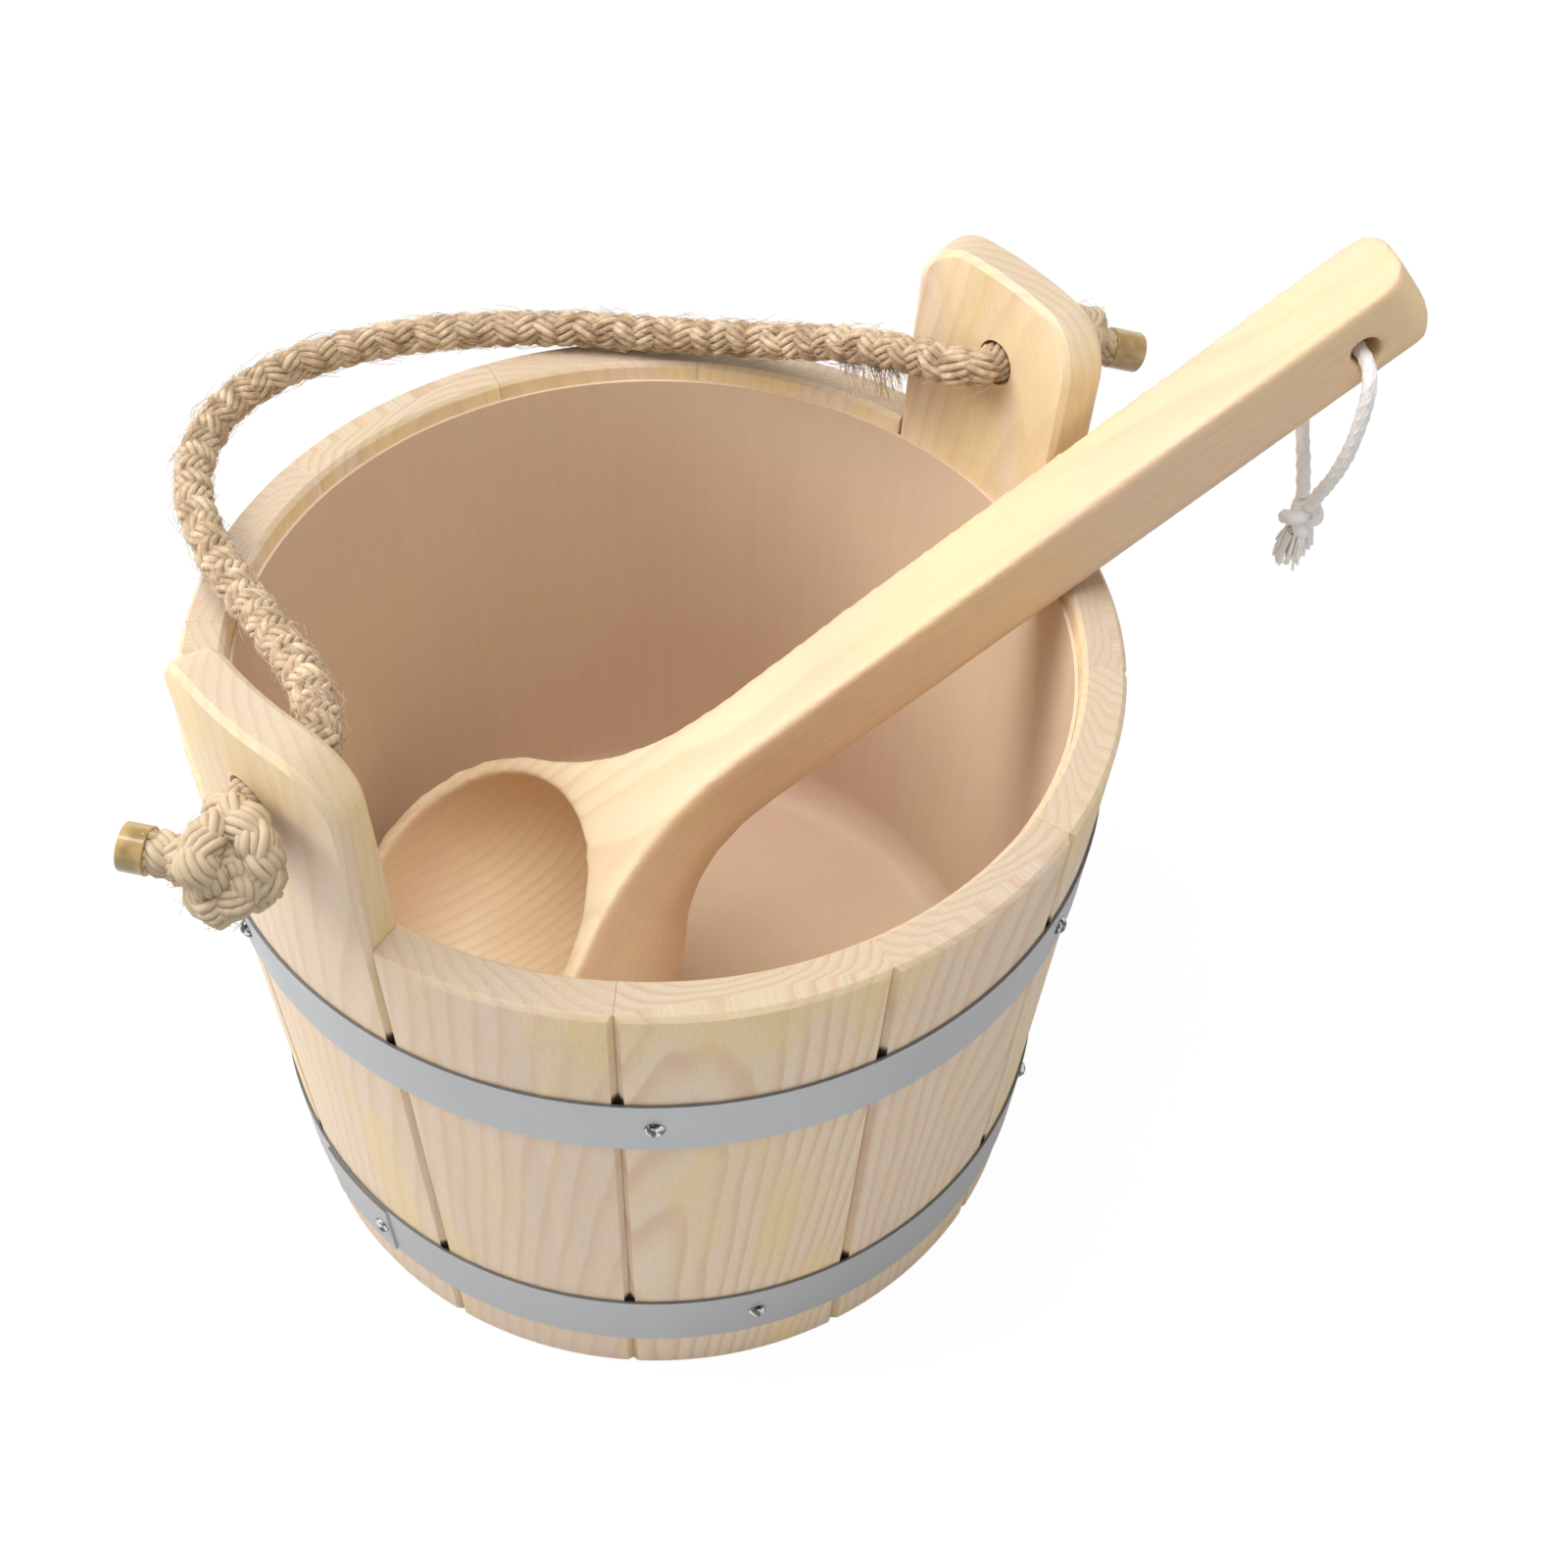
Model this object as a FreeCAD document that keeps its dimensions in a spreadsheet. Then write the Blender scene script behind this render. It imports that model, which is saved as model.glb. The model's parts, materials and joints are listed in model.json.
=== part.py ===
import FreeCAD, Part
import math
import os

import Sketcher

# Sauna bucket of twelve tapered staves with a rope handle, and its one-piece ladle.
# Millimetres. The origin is on the bucket's axis at the plane it stands on, +Z is up,
# and -Y is the side that faces the viewer. Angles go round the axis from +X.

SIZES = [
    ("bucket_height", 190.4, "foot to rim"),
    ("rim_radius", 122.0, "outer radius at the rim"),
    ("base_radius", 112.9, "outer radius at the foot"),
    ("stave_thickness", 11.5, "stave wall"),
    ("rim_bevel", 1.3, "bevel on both rim edges"),
    ("joint_bevel", 1.5, "bevel that makes the groove between two staves"),
    ("joint_gap", 0.06, "gap between two staves"),
    ("ear_rise", 60.6, "ear above the rim"),
    ("ear_corner_radius", 15.5, "round top corners of the ears"),
    ("ear_edge_bevel", 1.6, "eased top edges of the ears"),
    ("hole_rise", 35.6, "rope hole above the rim"),
    ("rope_hole_radius", 6.25, "bore through each ear"),
    ("left_hole_shift", 1.0, "rope hole off the middle of the left ear, degrees"),
    ("board_height", 10.6, "bottom board above the foot"),
    ("board_thickness", 8.0, "bottom board"),
    ("groove_depth", 4.0, "groove in the staves that holds the board"),
    ("fit_gap", 0.1, "gap between pieces that are driven together"),
    ("liner_wall", 1.0, "moulded liner"),
    ("liner_corner_radius", 13.0, "round corner of the liner's floor"),
    ("liner_drop", 5.5, "liner edge below the rim"),
    ("band_thickness", 0.8, "steel strip"),
    ("upper_band_height", 132.6, "lower edge of the upper hoop"),
    ("upper_band_width", 20.3, "width of the upper hoop"),
    ("lower_band_height", 19.1, "lower edge of the lower hoop"),
    ("lower_band_width", 23.4, "width of the lower hoop"),
    ("lap_angle", 14.0, "overlap of the strip's two ends, degrees"),
    ("lap_margin", 1.7, "strip end beyond the lap rivet, degrees"),
    ("nail_spacing", 60.0, "from nail to nail round a hoop, degrees"),
    ("upper_nail_angle", 154.1, "first nail of the upper hoop, degrees"),
    ("upper_lap_angle", 94.1, "lap rivet of the upper hoop, degrees"),
    ("lower_nail_angle", 287.9, "first nail of the lower hoop, degrees"),
    ("lower_lap_angle", 230.3, "lap rivet of the lower hoop, degrees"),
    ("nail_head_radius", 2.6, "domed head"),
    ("nail_head_height", 1.7, "domed head"),
    ("nail_shank_radius", 1.2, "shank"),
    ("nail_length", 8.0, "shank below the strip"),
    ("bowl_radius", 58.7, "outer radius of the ladle's bowl at the neck side"),
    ("bowl_tip_reach", 48.5, "bowl centre to tip, the bowl is flatter there"),
    ("bowl_rim_width", 6.4, "rim of the bowl"),
    ("bowl_depth", 55.0, "rim to the underside"),
    ("bowl_round", 34.0, "rounding under the bowl"),
    ("hollow_depth", 46.0, "rim to the bottom of the hollow"),
    ("neck_reach", 105.0, "bowl centre to where the handle starts"),
    ("neck_under_radius", 74.0, "hollow curve under the neck"),
    ("handle_reach", 318.5, "bowl centre to the handle's end"),
    ("handle_width", 24.4, "handle at the neck"),
    ("handle_end_width", 22.8, "handle at its end"),
    ("handle_depth", 23.2, "handle at the neck"),
    ("handle_end_depth", 22.5, "handle at its end"),
    ("handle_round", 3.0, "rounding of the handle's lower edges"),
    ("handle_end_radius", 8.0, "round corners of the handle's end"),
    ("handle_heel_radius", 9.0, "rounding of the end's lower edge"),
    ("loop_hole_setback", 18.6, "loop hole from the handle's end"),
    ("loop_hole_depth", 13.5, "loop hole below the handle's top"),
    ("loop_hole_radius", 4.1, "loop hole"),
    ("ladle_slope", 38.62, "handle above level, degrees"),
    ("ladle_turn", 17.73, "handle's direction round the axis, degrees"),
    ("ladle_tilt", -3.0, "ladle's roll about its handle, degrees"),
    ("ladle_side_offset", -0.7, "ladle's middle line beside the bucket's axis"),
    ("ladle_rest_gap", 0.35, "ladle to the rim and floor it lies on"),
    ("rope_radius", 5.25, "jute rope"),
    ("knot_gap", 1.4, "knot to the ear's outer face"),
    ("knot_ring_radius", 8.6, "middle line of the rope's turns in a knot"),
    ("knot_turn_shift", 4.2, "each turn from the middle of the knot"),
    ("knot_turn_tilt", 20.0, "lean of the two turns, degrees"),
    ("knot_drop", 3.0, "knots below the holes"),
    ("left_knot_side", 9.0, "left knot beside its hole"),
    ("right_knot_side", -2.0, "right knot beside its hole"),
    ("tail_start", 14.8, "middle of a knot to the taped end"),
    ("tape_thickness", 0.3, "tape round the rope ends"),
    ("left_tail_length", 6.0, "left taped end"),
    ("left_tail_lean", -53.0, "left end aside from the hole's line, degrees"),
    ("left_tail_slope", 3.0, "left end above level, degrees"),
    ("right_tail_length", 9.2, "right taped end"),
    ("right_tail_lean", -30.6, "right end aside from the hole's line, degrees"),
    ("right_tail_slope", -19.0, "right end above level, degrees"),
    ("cotton_radius", 2.0, "cotton cord of the ladle's loop"),
    ("loop_length", 60.0, "loop hole to the middle of the cotton knot"),
    ("loop_knot_side", 4.0, "cotton knot to the front of the loop hole"),
    ("cotton_knot_radius", 5.2, "cotton knot"),
    ("cotton_knot_reach", 8.0, "half height of the cotton knot's full oval"),
    ("tassel_length", 15.0, "frayed cotton end below the knot"),
    ("tassel_radius", 5.6, "frayed cotton end at its foot"),
]

# Width of each stave in degrees, from the joint at the right of the front. The two
# ears are staves of the same ring, and the last one closes it.
FIRST_JOINT = 242.5
STAVES = [
    ("stave_01", 27.5),
    ("stave_02", 31.0),
    ("stave_03", 28.5),
    ("stave_04", 28.0),
    ("stave_05", 28.0),
    ("ear_stave_right", 30.0),
    ("stave_06", 33.0),
    ("stave_07", 30.5),
    ("stave_08", 33.0),
    ("stave_09", 31.0),
    ("stave_10", 31.5),
    ("ear_stave_left", None),
]

doc = FreeCAD.newDocument("sauna_bucket")
sheet = doc.addObject("Spreadsheet::Sheet", "Sizes")
for row, (alias, number, meaning) in enumerate(SIZES, 1):
    sheet.set(f"A{row}", meaning)
    sheet.set(f"B{row}", str(number))
    sheet.setAlias(f"B{row}", alias)
first_stave_row = len(SIZES) + 1
sheet.set(f"B{first_stave_row}", str(FIRST_JOINT))
sheet.setAlias(f"B{first_stave_row}", "first_joint_angle")
closing_width = 360.0 - sum(width for _, width in STAVES if width is not None)
for row, (stave_name, width) in enumerate(STAVES, first_stave_row + 1):
    sheet.set(f"A{row}", "stave width, degrees")
    sheet.set(f"B{row}", str(closing_width if width is None else width))
    sheet.setAlias(f"B{row}", stave_name + "_width")
doc.recompute()


def size(alias):
    """A size from the sheet, in millimetres or degrees."""
    return float(getattr(sheet, alias))


def measure(expression):
    """The number that an expression of the sheet gives."""
    return float(sheet.evalExpression(str(expression)))


def outer_at(height):
    """Expression for the staves' outer radius at a height."""
    return (
        "(Sizes.base_radius + (Sizes.rim_radius - Sizes.base_radius)"
        f" * ({height}) / Sizes.bucket_height)"
    )


def inner_at(height):
    """Expression for the staves' inner radius at a height."""
    return f"({outer_at(height)} - Sizes.stave_thickness)"


def polar(radius, angle, height=0.0):
    """Point at a radius and an angle in degrees round the bucket's axis."""
    turn = math.radians(angle)
    return FreeCAD.Vector(radius * math.cos(turn), radius * math.sin(turn), height)


UP = FreeCAD.Vector(0, 0, 1)
ACROSS = FreeCAD.Vector(0, 1, 0)


# Building blocks

def origin_feature(body, role):
    """One of the body's own origin planes or axes."""
    for feature in body.Origin.OriginFeatures:
        if feature.Role == role:
            return feature
    raise ValueError(role)


def outline(body, name, role, corners):
    """Closed sketch of straight edges whose corners are held by expressions."""
    sketch = body.newObject("Sketcher::SketchObject", name)
    sketch.AttachmentSupport = [(origin_feature(body, role), "")]
    sketch.MapMode = "FlatFace"
    points = [FreeCAD.Vector(measure(a), measure(b), 0) for a, b in corners]
    count = len(points)
    for i in range(count):
        sketch.addGeometry(Part.LineSegment(points[i], points[(i + 1) % count]), False)
    for i in range(count):
        sketch.addConstraint(Sketcher.Constraint("Coincident", i, 2, (i + 1) % count, 1))
    for i, (across, up) in enumerate(corners):
        for kind, expression, length in (
            ("DistanceX", across, points[i].x),
            ("DistanceY", up, points[i].y),
        ):
            held = Sketcher.Constraint(kind, -1, 1, i, 1, length)
            index = sketch.addConstraint(held)
            sketch.setExpression(f"Constraints[{index}]", str(expression))
    return sketch


def new_body(name):
    body = doc.addObject("PartDesign::Body", name)
    body.Label = name
    return body


def turned(body, name, corners, angle=None):
    """Revolution of an outline about the bucket's axis, centred on the XZ plane."""
    sketch = outline(body, name + "_outline", "XZ_Plane", corners)
    revolution = body.newObject("PartDesign::Revolution", name)
    revolution.Profile = (sketch, [""])
    revolution.ReferenceAxis = (origin_feature(body, "Z_Axis"), [""])
    if angle is not None:
        revolution.Midplane = True
        revolution.setExpression("Angle", angle)
    doc.recompute()
    return revolution


def edges_where(shape, test):
    """Names of the edges that a test picks."""
    return [f"Edge{i}" for i, edge in enumerate(shape.Edges, 1) if test(edge)]


def ends(edge):
    return [vertex.Point for vertex in edge.Vertexes]


def dress(body, kind, name, base, edge_names, expression):
    """Fillet or chamfer on edges of the feature before it."""
    if not edge_names:
        raise ValueError(f"{body.Label}: no edge for {name}")
    feature = body.newObject("PartDesign::" + kind, name)
    feature.Base = (base, edge_names)
    feature.setExpression("Radius" if kind == "Fillet" else "Size", expression)
    doc.recompute()
    return feature


def place_by_angle(item, expression):
    """Turns a piece about the bucket's axis."""
    item.Placement = FreeCAD.Placement(
        FreeCAD.Vector(), FreeCAD.Rotation(UP, measure(expression))
    )
    item.setExpression("Placement.Rotation.Angle", f"({expression}) * 1 deg")


def built(name, shape):
    """A piece whose shape is worked out here from the sheet's sizes."""
    item = doc.addObject("Part::Feature", name)
    item.Label = name
    item.Shape = shape
    return item


def combined(kind, name, *pieces):
    """Part boolean of two or more pieces."""
    item = doc.addObject("Part::" + kind, name)
    item.Label = name
    if kind == "Cut":
        item.Base, item.Tool = pieces
    else:
        item.Shapes = list(pieces)
    doc.recompute()
    return item


# Staves

BOARD_TOP = "(Sizes.board_height + Sizes.board_thickness)"


def stave_corners(top, top_edge):
    """Section of a stave with its groove for the bottom board, foot to top."""
    groove_low = "(Sizes.board_height - Sizes.fit_gap)"
    groove_high = f"({BOARD_TOP} + Sizes.fit_gap)"
    bevel = "Sizes.rim_bevel"
    return [
        (inner_at("0"), "0"),
        (f"{outer_at('0')} - {bevel}", "0"),
        (outer_at(bevel), bevel),
        *top_edge,
        (inner_at(groove_high), groove_high),
        (f"{inner_at(groove_high)} + Sizes.groove_depth", groove_high),
        (f"{inner_at(groove_low)} + Sizes.groove_depth", groove_low),
        (inner_at(groove_low), groove_low),
    ]


def bevelled_top(top):
    """Rim of a stave, with a bevel on its outer and inner edges."""
    bevel = "Sizes.rim_bevel"
    shoulder = f"({top} - {bevel})"
    return [
        (outer_at(shoulder), shoulder),
        (f"{outer_at(top)} - {bevel}", top),
        (f"{inner_at(top)} + {bevel}", top),
        (inner_at(shoulder), shoulder),
    ]


def on_face(edge, radius_at):
    """True where all of an edge's ends lie on the outer or the inner face."""
    return all(
        abs(math.hypot(point.x, point.y) - measure(radius_at(point.z))) < 0.01
        for point in ends(edge)
    )


def side_angle(point):
    return math.degrees(math.atan2(point.y, point.x))


def stave(name):
    """One stave round the XZ plane, with the joint bevels on its outer face."""
    body = new_body(name + "_wood")
    gap = "(Sizes.joint_gap / Sizes.base_radius * 180 / pi)"
    top = "Sizes.bucket_height"
    corners = stave_corners(top, bevelled_top(top))
    blank = turned(body, "blank", corners, f"Sizes.{name}_width - {gap}")
    joints = edges_where(
        blank.Shape,
        lambda edge: edge.BoundBox.ZLength > 0.6 * measure(top)
        and on_face(edge, outer_at),
    )
    dress(body, "Chamfer", "joint_bevels", blank, joints, "Sizes.joint_bevel")
    return body


def ear(name):
    """A stave that stands above the rim, with round corners and eased edges."""
    body = new_body(name + "_wood")
    gap = "(Sizes.joint_gap / Sizes.base_radius * 180 / pi)"
    top = "(Sizes.bucket_height + Sizes.ear_rise)"
    height = measure(top)
    square_top = [(outer_at(top), top), (inner_at(top), top)]
    corners = stave_corners(top, square_top)
    blank = turned(body, "blank", corners, f"Sizes.{name}_width - {gap}")
    points = edges_where(
        blank.Shape,
        lambda edge: all(abs(point.z - height) < 0.01 for point in ends(edge))
        and abs(side_angle(ends(edge)[0]) - side_angle(ends(edge)[1])) < 0.01,
    )
    rounded = dress(body, "Fillet", "corners", blank, points, "Sizes.ear_corner_radius")
    lowest = measure("Sizes.bucket_height")
    top_edges = edges_where(
        rounded.Shape,
        lambda edge: edge.BoundBox.ZMax > lowest
        and (on_face(edge, outer_at) or on_face(edge, inner_at))
        and not (edge.BoundBox.ZLength > 0.5 * lowest and on_face(edge, inner_at)),
    )
    dress(body, "Chamfer", "eased_edges", rounded, top_edges, "Sizes.ear_edge_bevel")
    return body


def stave_bounds():
    """Name, first joint angle and width of each stave, as expressions."""
    start = "Sizes.first_joint_angle"
    for name, _ in STAVES:
        width = f"Sizes.{name}_width"
        yield name, start, width
        start = f"{start} + {width}"


BOUNDS = {name: (start, width) for name, start, width in stave_bounds()}


def middle_angle(name):
    """Expression for the angle of a stave's middle."""
    start, width = BOUNDS[name]
    return f"{start} + {width} / 2"


# Hoops, nails and lap rivets

def band_radius(height, layers):
    """Expression for a strip's radius at a height, so many strips out from the wood."""
    return f"({outer_at(height)} + Sizes.fit_gap + {layers} * Sizes.band_thickness)"


def hoop(name, low, width, lap_angle):
    """Conical strip whose outer end laps over the inner one."""
    body = new_body(name + "_strip")
    high = f"({low} + {width})"
    ring = [
        (band_radius(low, 0), low),
        (band_radius(low, 1), low),
        (band_radius(high, 1), high),
        (band_radius(high, 0), high),
    ]
    turned(body, "ring", ring)
    lap = [
        (band_radius(low, 0.5), low),
        (band_radius(low, 2), low),
        (band_radius(high, 2), high),
        (band_radius(high, 0.5), high),
    ]
    turned(body, "lap", lap, "Sizes.lap_angle")
    place_by_angle(body, f"{lap_angle} + Sizes.lap_margin - Sizes.lap_angle / 2")
    return body


FACE_LEAN = math.degrees(
    math.atan((size("rim_radius") - size("base_radius")) / size("bucket_height"))
)
NAILS_PER_HOOP = 5
HOOPS = {
    "upper": ("Sizes.upper_band_height", "Sizes.upper_band_width"),
    "lower": ("Sizes.lower_band_height", "Sizes.lower_band_width"),
}


def outward(height, angle, clear=0.0):
    """Placement on the wood's face with +Z square to it and pointing out."""
    place = polar(measure(outer_at(height)), angle, height)
    lean = 90.0 + FACE_LEAN
    turn = FreeCAD.Rotation(UP, angle).multiply(FreeCAD.Rotation(ACROSS, lean))
    return FreeCAD.Placement(place + turn.multVec(UP) * clear, turn)


def round_bar(name, radius, length, placement):
    """Cylinder with its radius and length held by expressions."""
    bar = doc.addObject("Part::Cylinder", name)
    bar.setExpression("Radius", radius)
    bar.setExpression("Height", length)
    bar.Placement = placement
    return bar


DOME = "((Sizes.nail_head_radius ^ 2 / Sizes.nail_head_height + Sizes.nail_head_height) / 2)"


def nail(name, height, angle, layers):
    """Domed head that sits on so many layers of strip, and its shank in the wood."""
    seat = f"({layers} * Sizes.band_thickness + 2 * Sizes.fit_gap)"
    shank = round_bar(
        name + "_shank",
        "Sizes.nail_shank_radius",
        f"Sizes.nail_length + {seat} + Sizes.nail_head_height / 2",
        outward(height, angle, -size("nail_length")),
    )
    head = doc.addObject("Part::Sphere", name + "_head")
    head.setExpression("Radius", DOME)
    head.setExpression("Angle1", f"asin(1 - Sizes.nail_head_height / {DOME})")
    sunk = measure(f"{seat} + Sizes.nail_head_height - {DOME}")
    head.Placement = outward(height, angle, sunk)
    return combined("MultiFuse", name, shank, head)


def nail_bore(name, height, angle):
    """Hole that a nail fills, through the strip and into the wood."""
    return round_bar(
        name + "_bore",
        "Sizes.nail_shank_radius + Sizes.fit_gap",
        "Sizes.nail_length + Sizes.fit_gap + 4 * Sizes.band_thickness",
        outward(height, angle, -size("nail_length") - size("fit_gap")),
    )


def group(name, items):
    """Like solids that share one node."""
    compound = doc.addObject("Part::Compound", name)
    compound.Label = name
    compound.Links = list(items)
    doc.recompute()
    return compound


def liner():
    """Thin moulded tub inside the staves, with a round floor corner."""
    body = new_body("liner")
    low = f"({BOARD_TOP} + Sizes.fit_gap)"
    top = "(Sizes.bucket_height - Sizes.liner_drop)"
    corners = [
        ("0", low),
        (f"{inner_at(low)} - Sizes.fit_gap", low),
        (f"{inner_at(top)} - Sizes.fit_gap", top),
        ("0", top),
    ]
    block = turned(body, "tub", corners)
    floor = measure(low)
    rim = edges_where(block.Shape, lambda edge: abs(edge.BoundBox.ZMax - floor) < 0.01)
    corner = "Sizes.liner_corner_radius + Sizes.liner_wall"
    rounded = dress(body, "Fillet", "floor_corner", block, rim, corner)
    mouth = [
        f"Face{i}"
        for i, face in enumerate(rounded.Shape.Faces, 1)
        if face.BoundBox.ZMin > floor + size("liner_corner_radius") * 2
    ]
    wall = body.newObject("PartDesign::Thickness", "wall")
    wall.Base = (rounded, mouth)
    wall.Reversed = True
    wall.setExpression("Value", "Sizes.liner_wall")
    doc.recompute()
    return body


def bottom_board():
    """Round board whose edge sits in the staves' groove."""
    body = new_body("bottom_board")
    edge = f"({inner_at('Sizes.board_height')} + Sizes.groove_depth - 2 * Sizes.fit_gap)"
    corners = [
        ("0", "Sizes.board_height"),
        (edge, "Sizes.board_height"),
        (edge, BOARD_TOP),
        ("0", BOARD_TOP),
    ]
    turned(body, "disc", corners)
    return body


# Ladle, in its own frame: bowl centre at the rim, +X along the handle, +Z up from the rim

def neck_half_width(reach):
    """Half the neck's width: the bowl's circle, then a curve that runs into the handle."""
    bowl = size("bowl_radius")
    start = size("neck_reach")
    handle = size("handle_width") / 2
    curve = (start ** 2 + handle ** 2 - bowl ** 2) / (2 * (bowl - handle))
    touch = start * bowl / (bowl + curve)
    if reach <= touch:
        return math.sqrt(bowl ** 2 - reach ** 2)
    return handle + curve - math.sqrt(curve ** 2 - (start - reach) ** 2)


def neck_thickness(reach):
    """The neck's depth: a hollow curve from under the handle down to the bowl."""
    curve = size("neck_under_radius")
    back = min(size("neck_reach") - reach, curve)
    drop = curve - math.sqrt(curve ** 2 - back ** 2)
    return min(size("handle_depth") + drop, size("bowl_depth"))


def neck_rounding(reach):
    """Radius of the neck's lower edges, from the bowl's to the handle's."""
    bowl = size("bowl_round")
    handle = size("handle_round")
    share = (size("neck_reach") - reach) / (size("neck_reach") * 0.59)
    return handle + (bowl - handle) * min(share, 1.0) ** 1.5


def neck_section(reach):
    """Cross-section of the neck: flat top, upright sides, rounded lower edges."""
    wide = neck_half_width(reach)
    deep = neck_thickness(reach)
    soft = min(neck_rounding(reach), deep - 2.0, wide - 2.0)
    diagonal = soft * (1 - math.sqrt(0.5))
    spots = [
        (-wide, 0),
        (wide, 0),
        (wide, soft - deep),
        (wide - diagonal, diagonal - deep),
        (wide - soft, -deep),
        (soft - wide, -deep),
        (diagonal - wide, diagonal - deep),
        (-wide, soft - deep),
    ]
    points = [FreeCAD.Vector(reach, y, z) for y, z in spots]
    return Part.Wire([
        Part.LineSegment(points[0], points[1]).toShape(),
        Part.LineSegment(points[1], points[2]).toShape(),
        Part.Arc(*points[2:5]).toShape(),
        Part.LineSegment(points[4], points[5]).toShape(),
        Part.Arc(*points[5:8]).toShape(),
        Part.LineSegment(points[7], points[0]).toShape(),
    ])


NECK_STATIONS = [0, 0.12, 0.24, 0.36, 0.46, 0.56, 0.66, 0.76, 0.88, 1]


HOLLOW_ROUND = "Sizes.hollow_depth - 2"


def bowl_shape(name, radius, depth, rounding):
    """Round bowl shape with a rounded bottom, turned about the ladle's upright axis."""
    body = new_body(name)
    corners = [("0", "0"), (radius, "0"), (radius, f"-{depth}"), ("0", f"-{depth}")]
    sketch = outline(body, "section", "XZ_Plane", corners)
    revolution = body.newObject("PartDesign::Revolution", "half")
    revolution.Profile = (sketch, [""])
    revolution.ReferenceAxis = (origin_feature(body, "Z_Axis"), [""])
    doc.recompute()
    low = -measure(depth)
    edge = edges_where(revolution.Shape, lambda e: abs(e.BoundBox.ZMax - low) < 0.01)
    dress(body, "Fillet", "rounding", revolution, edge, rounding)
    return body


def half_of(name, shape, towards_tip, share=1.0):
    """Half of a bowl shape, with the tip's half drawn in along the ladle."""
    span = 4 * size("bowl_radius")
    corner = FreeCAD.Vector(-span if towards_tip else 0, -span / 2, -span / 2)
    half = shape.common(Part.makeBox(span, span, span, corner))
    if share != 1.0:
        squeeze = FreeCAD.Matrix()
        squeeze.scale(share, 1, 1)
        half = half.transformGeometry(squeeze)
    return built(name, half)


def handle_blank(name, corner_radius=None, heel_radius=None):
    """Bar that tapers in width and depth; its end may have round corners and a heel."""
    near = "Sizes.neck_reach"
    far = "Sizes.handle_reach"
    plan = new_body(name + "_plan")
    plan_outline = outline(plan, "outline", "XY_Plane", [
        (near, "-Sizes.handle_width / 2"),
        (far, "-Sizes.handle_end_width / 2"),
        (far, "Sizes.handle_end_width / 2"),
        (near, "Sizes.handle_width / 2"),
    ])
    plan_pad = plan.newObject("PartDesign::Pad", "pad")
    plan_pad.Profile = (plan_outline, [""])
    plan_pad.Reversed = True
    plan_pad.setExpression("Length", "Sizes.handle_depth * 2")
    side = new_body(name + "_side")
    side_outline = outline(side, "outline", "XZ_Plane", [
        (near, "0"),
        (near, "-Sizes.handle_depth"),
        (far, "-Sizes.handle_end_depth"),
        (far, "0"),
    ])
    side_pad = side.newObject("PartDesign::Pad", "pad")
    side_pad.Profile = (side_outline, [""])
    side_pad.Midplane = True
    side_pad.setExpression("Length", "Sizes.handle_width * 2")
    doc.recompute()
    reach = size("handle_reach") - 0.01
    low = 0.01 - size("handle_end_depth")
    if corner_radius:
        upright = edges_where(
            plan_pad.Shape, lambda e: e.BoundBox.XMin > reach and e.BoundBox.ZLength > 1
        )
        dress(plan, "Fillet", "end_corners", plan_pad, upright, corner_radius)
    if heel_radius:
        heel = edges_where(
            side_pad.Shape,
            lambda e: e.BoundBox.XMin > reach
            and e.BoundBox.ZMax < low
            and e.BoundBox.YLength > 1,
        )
        dress(side, "Fillet", "heel", side_pad, heel, heel_radius)
    return [plan, side]


def handle():
    """The handle: tapered bar with rounded lower edges, round end corners and heel."""
    bar = combined("MultiCommon", "handle_bar", *handle_blank("bar"))
    half = size("handle_end_depth") / 2
    lower = [
        (i, size("handle_round"), size("handle_round"))
        for i, edge in enumerate(bar.Shape.Edges, 1)
        if edge.BoundBox.ZMax < -half and edge.BoundBox.XLength > half
    ]
    soft = doc.addObject("Part::Fillet", "handle_lower_edges")
    soft.Base = bar
    soft.Edges = lower
    doc.recompute()
    end = handle_blank("end", "Sizes.handle_end_radius", "Sizes.handle_heel_radius")
    return combined("MultiCommon", "handle", soft, *end)


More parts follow.
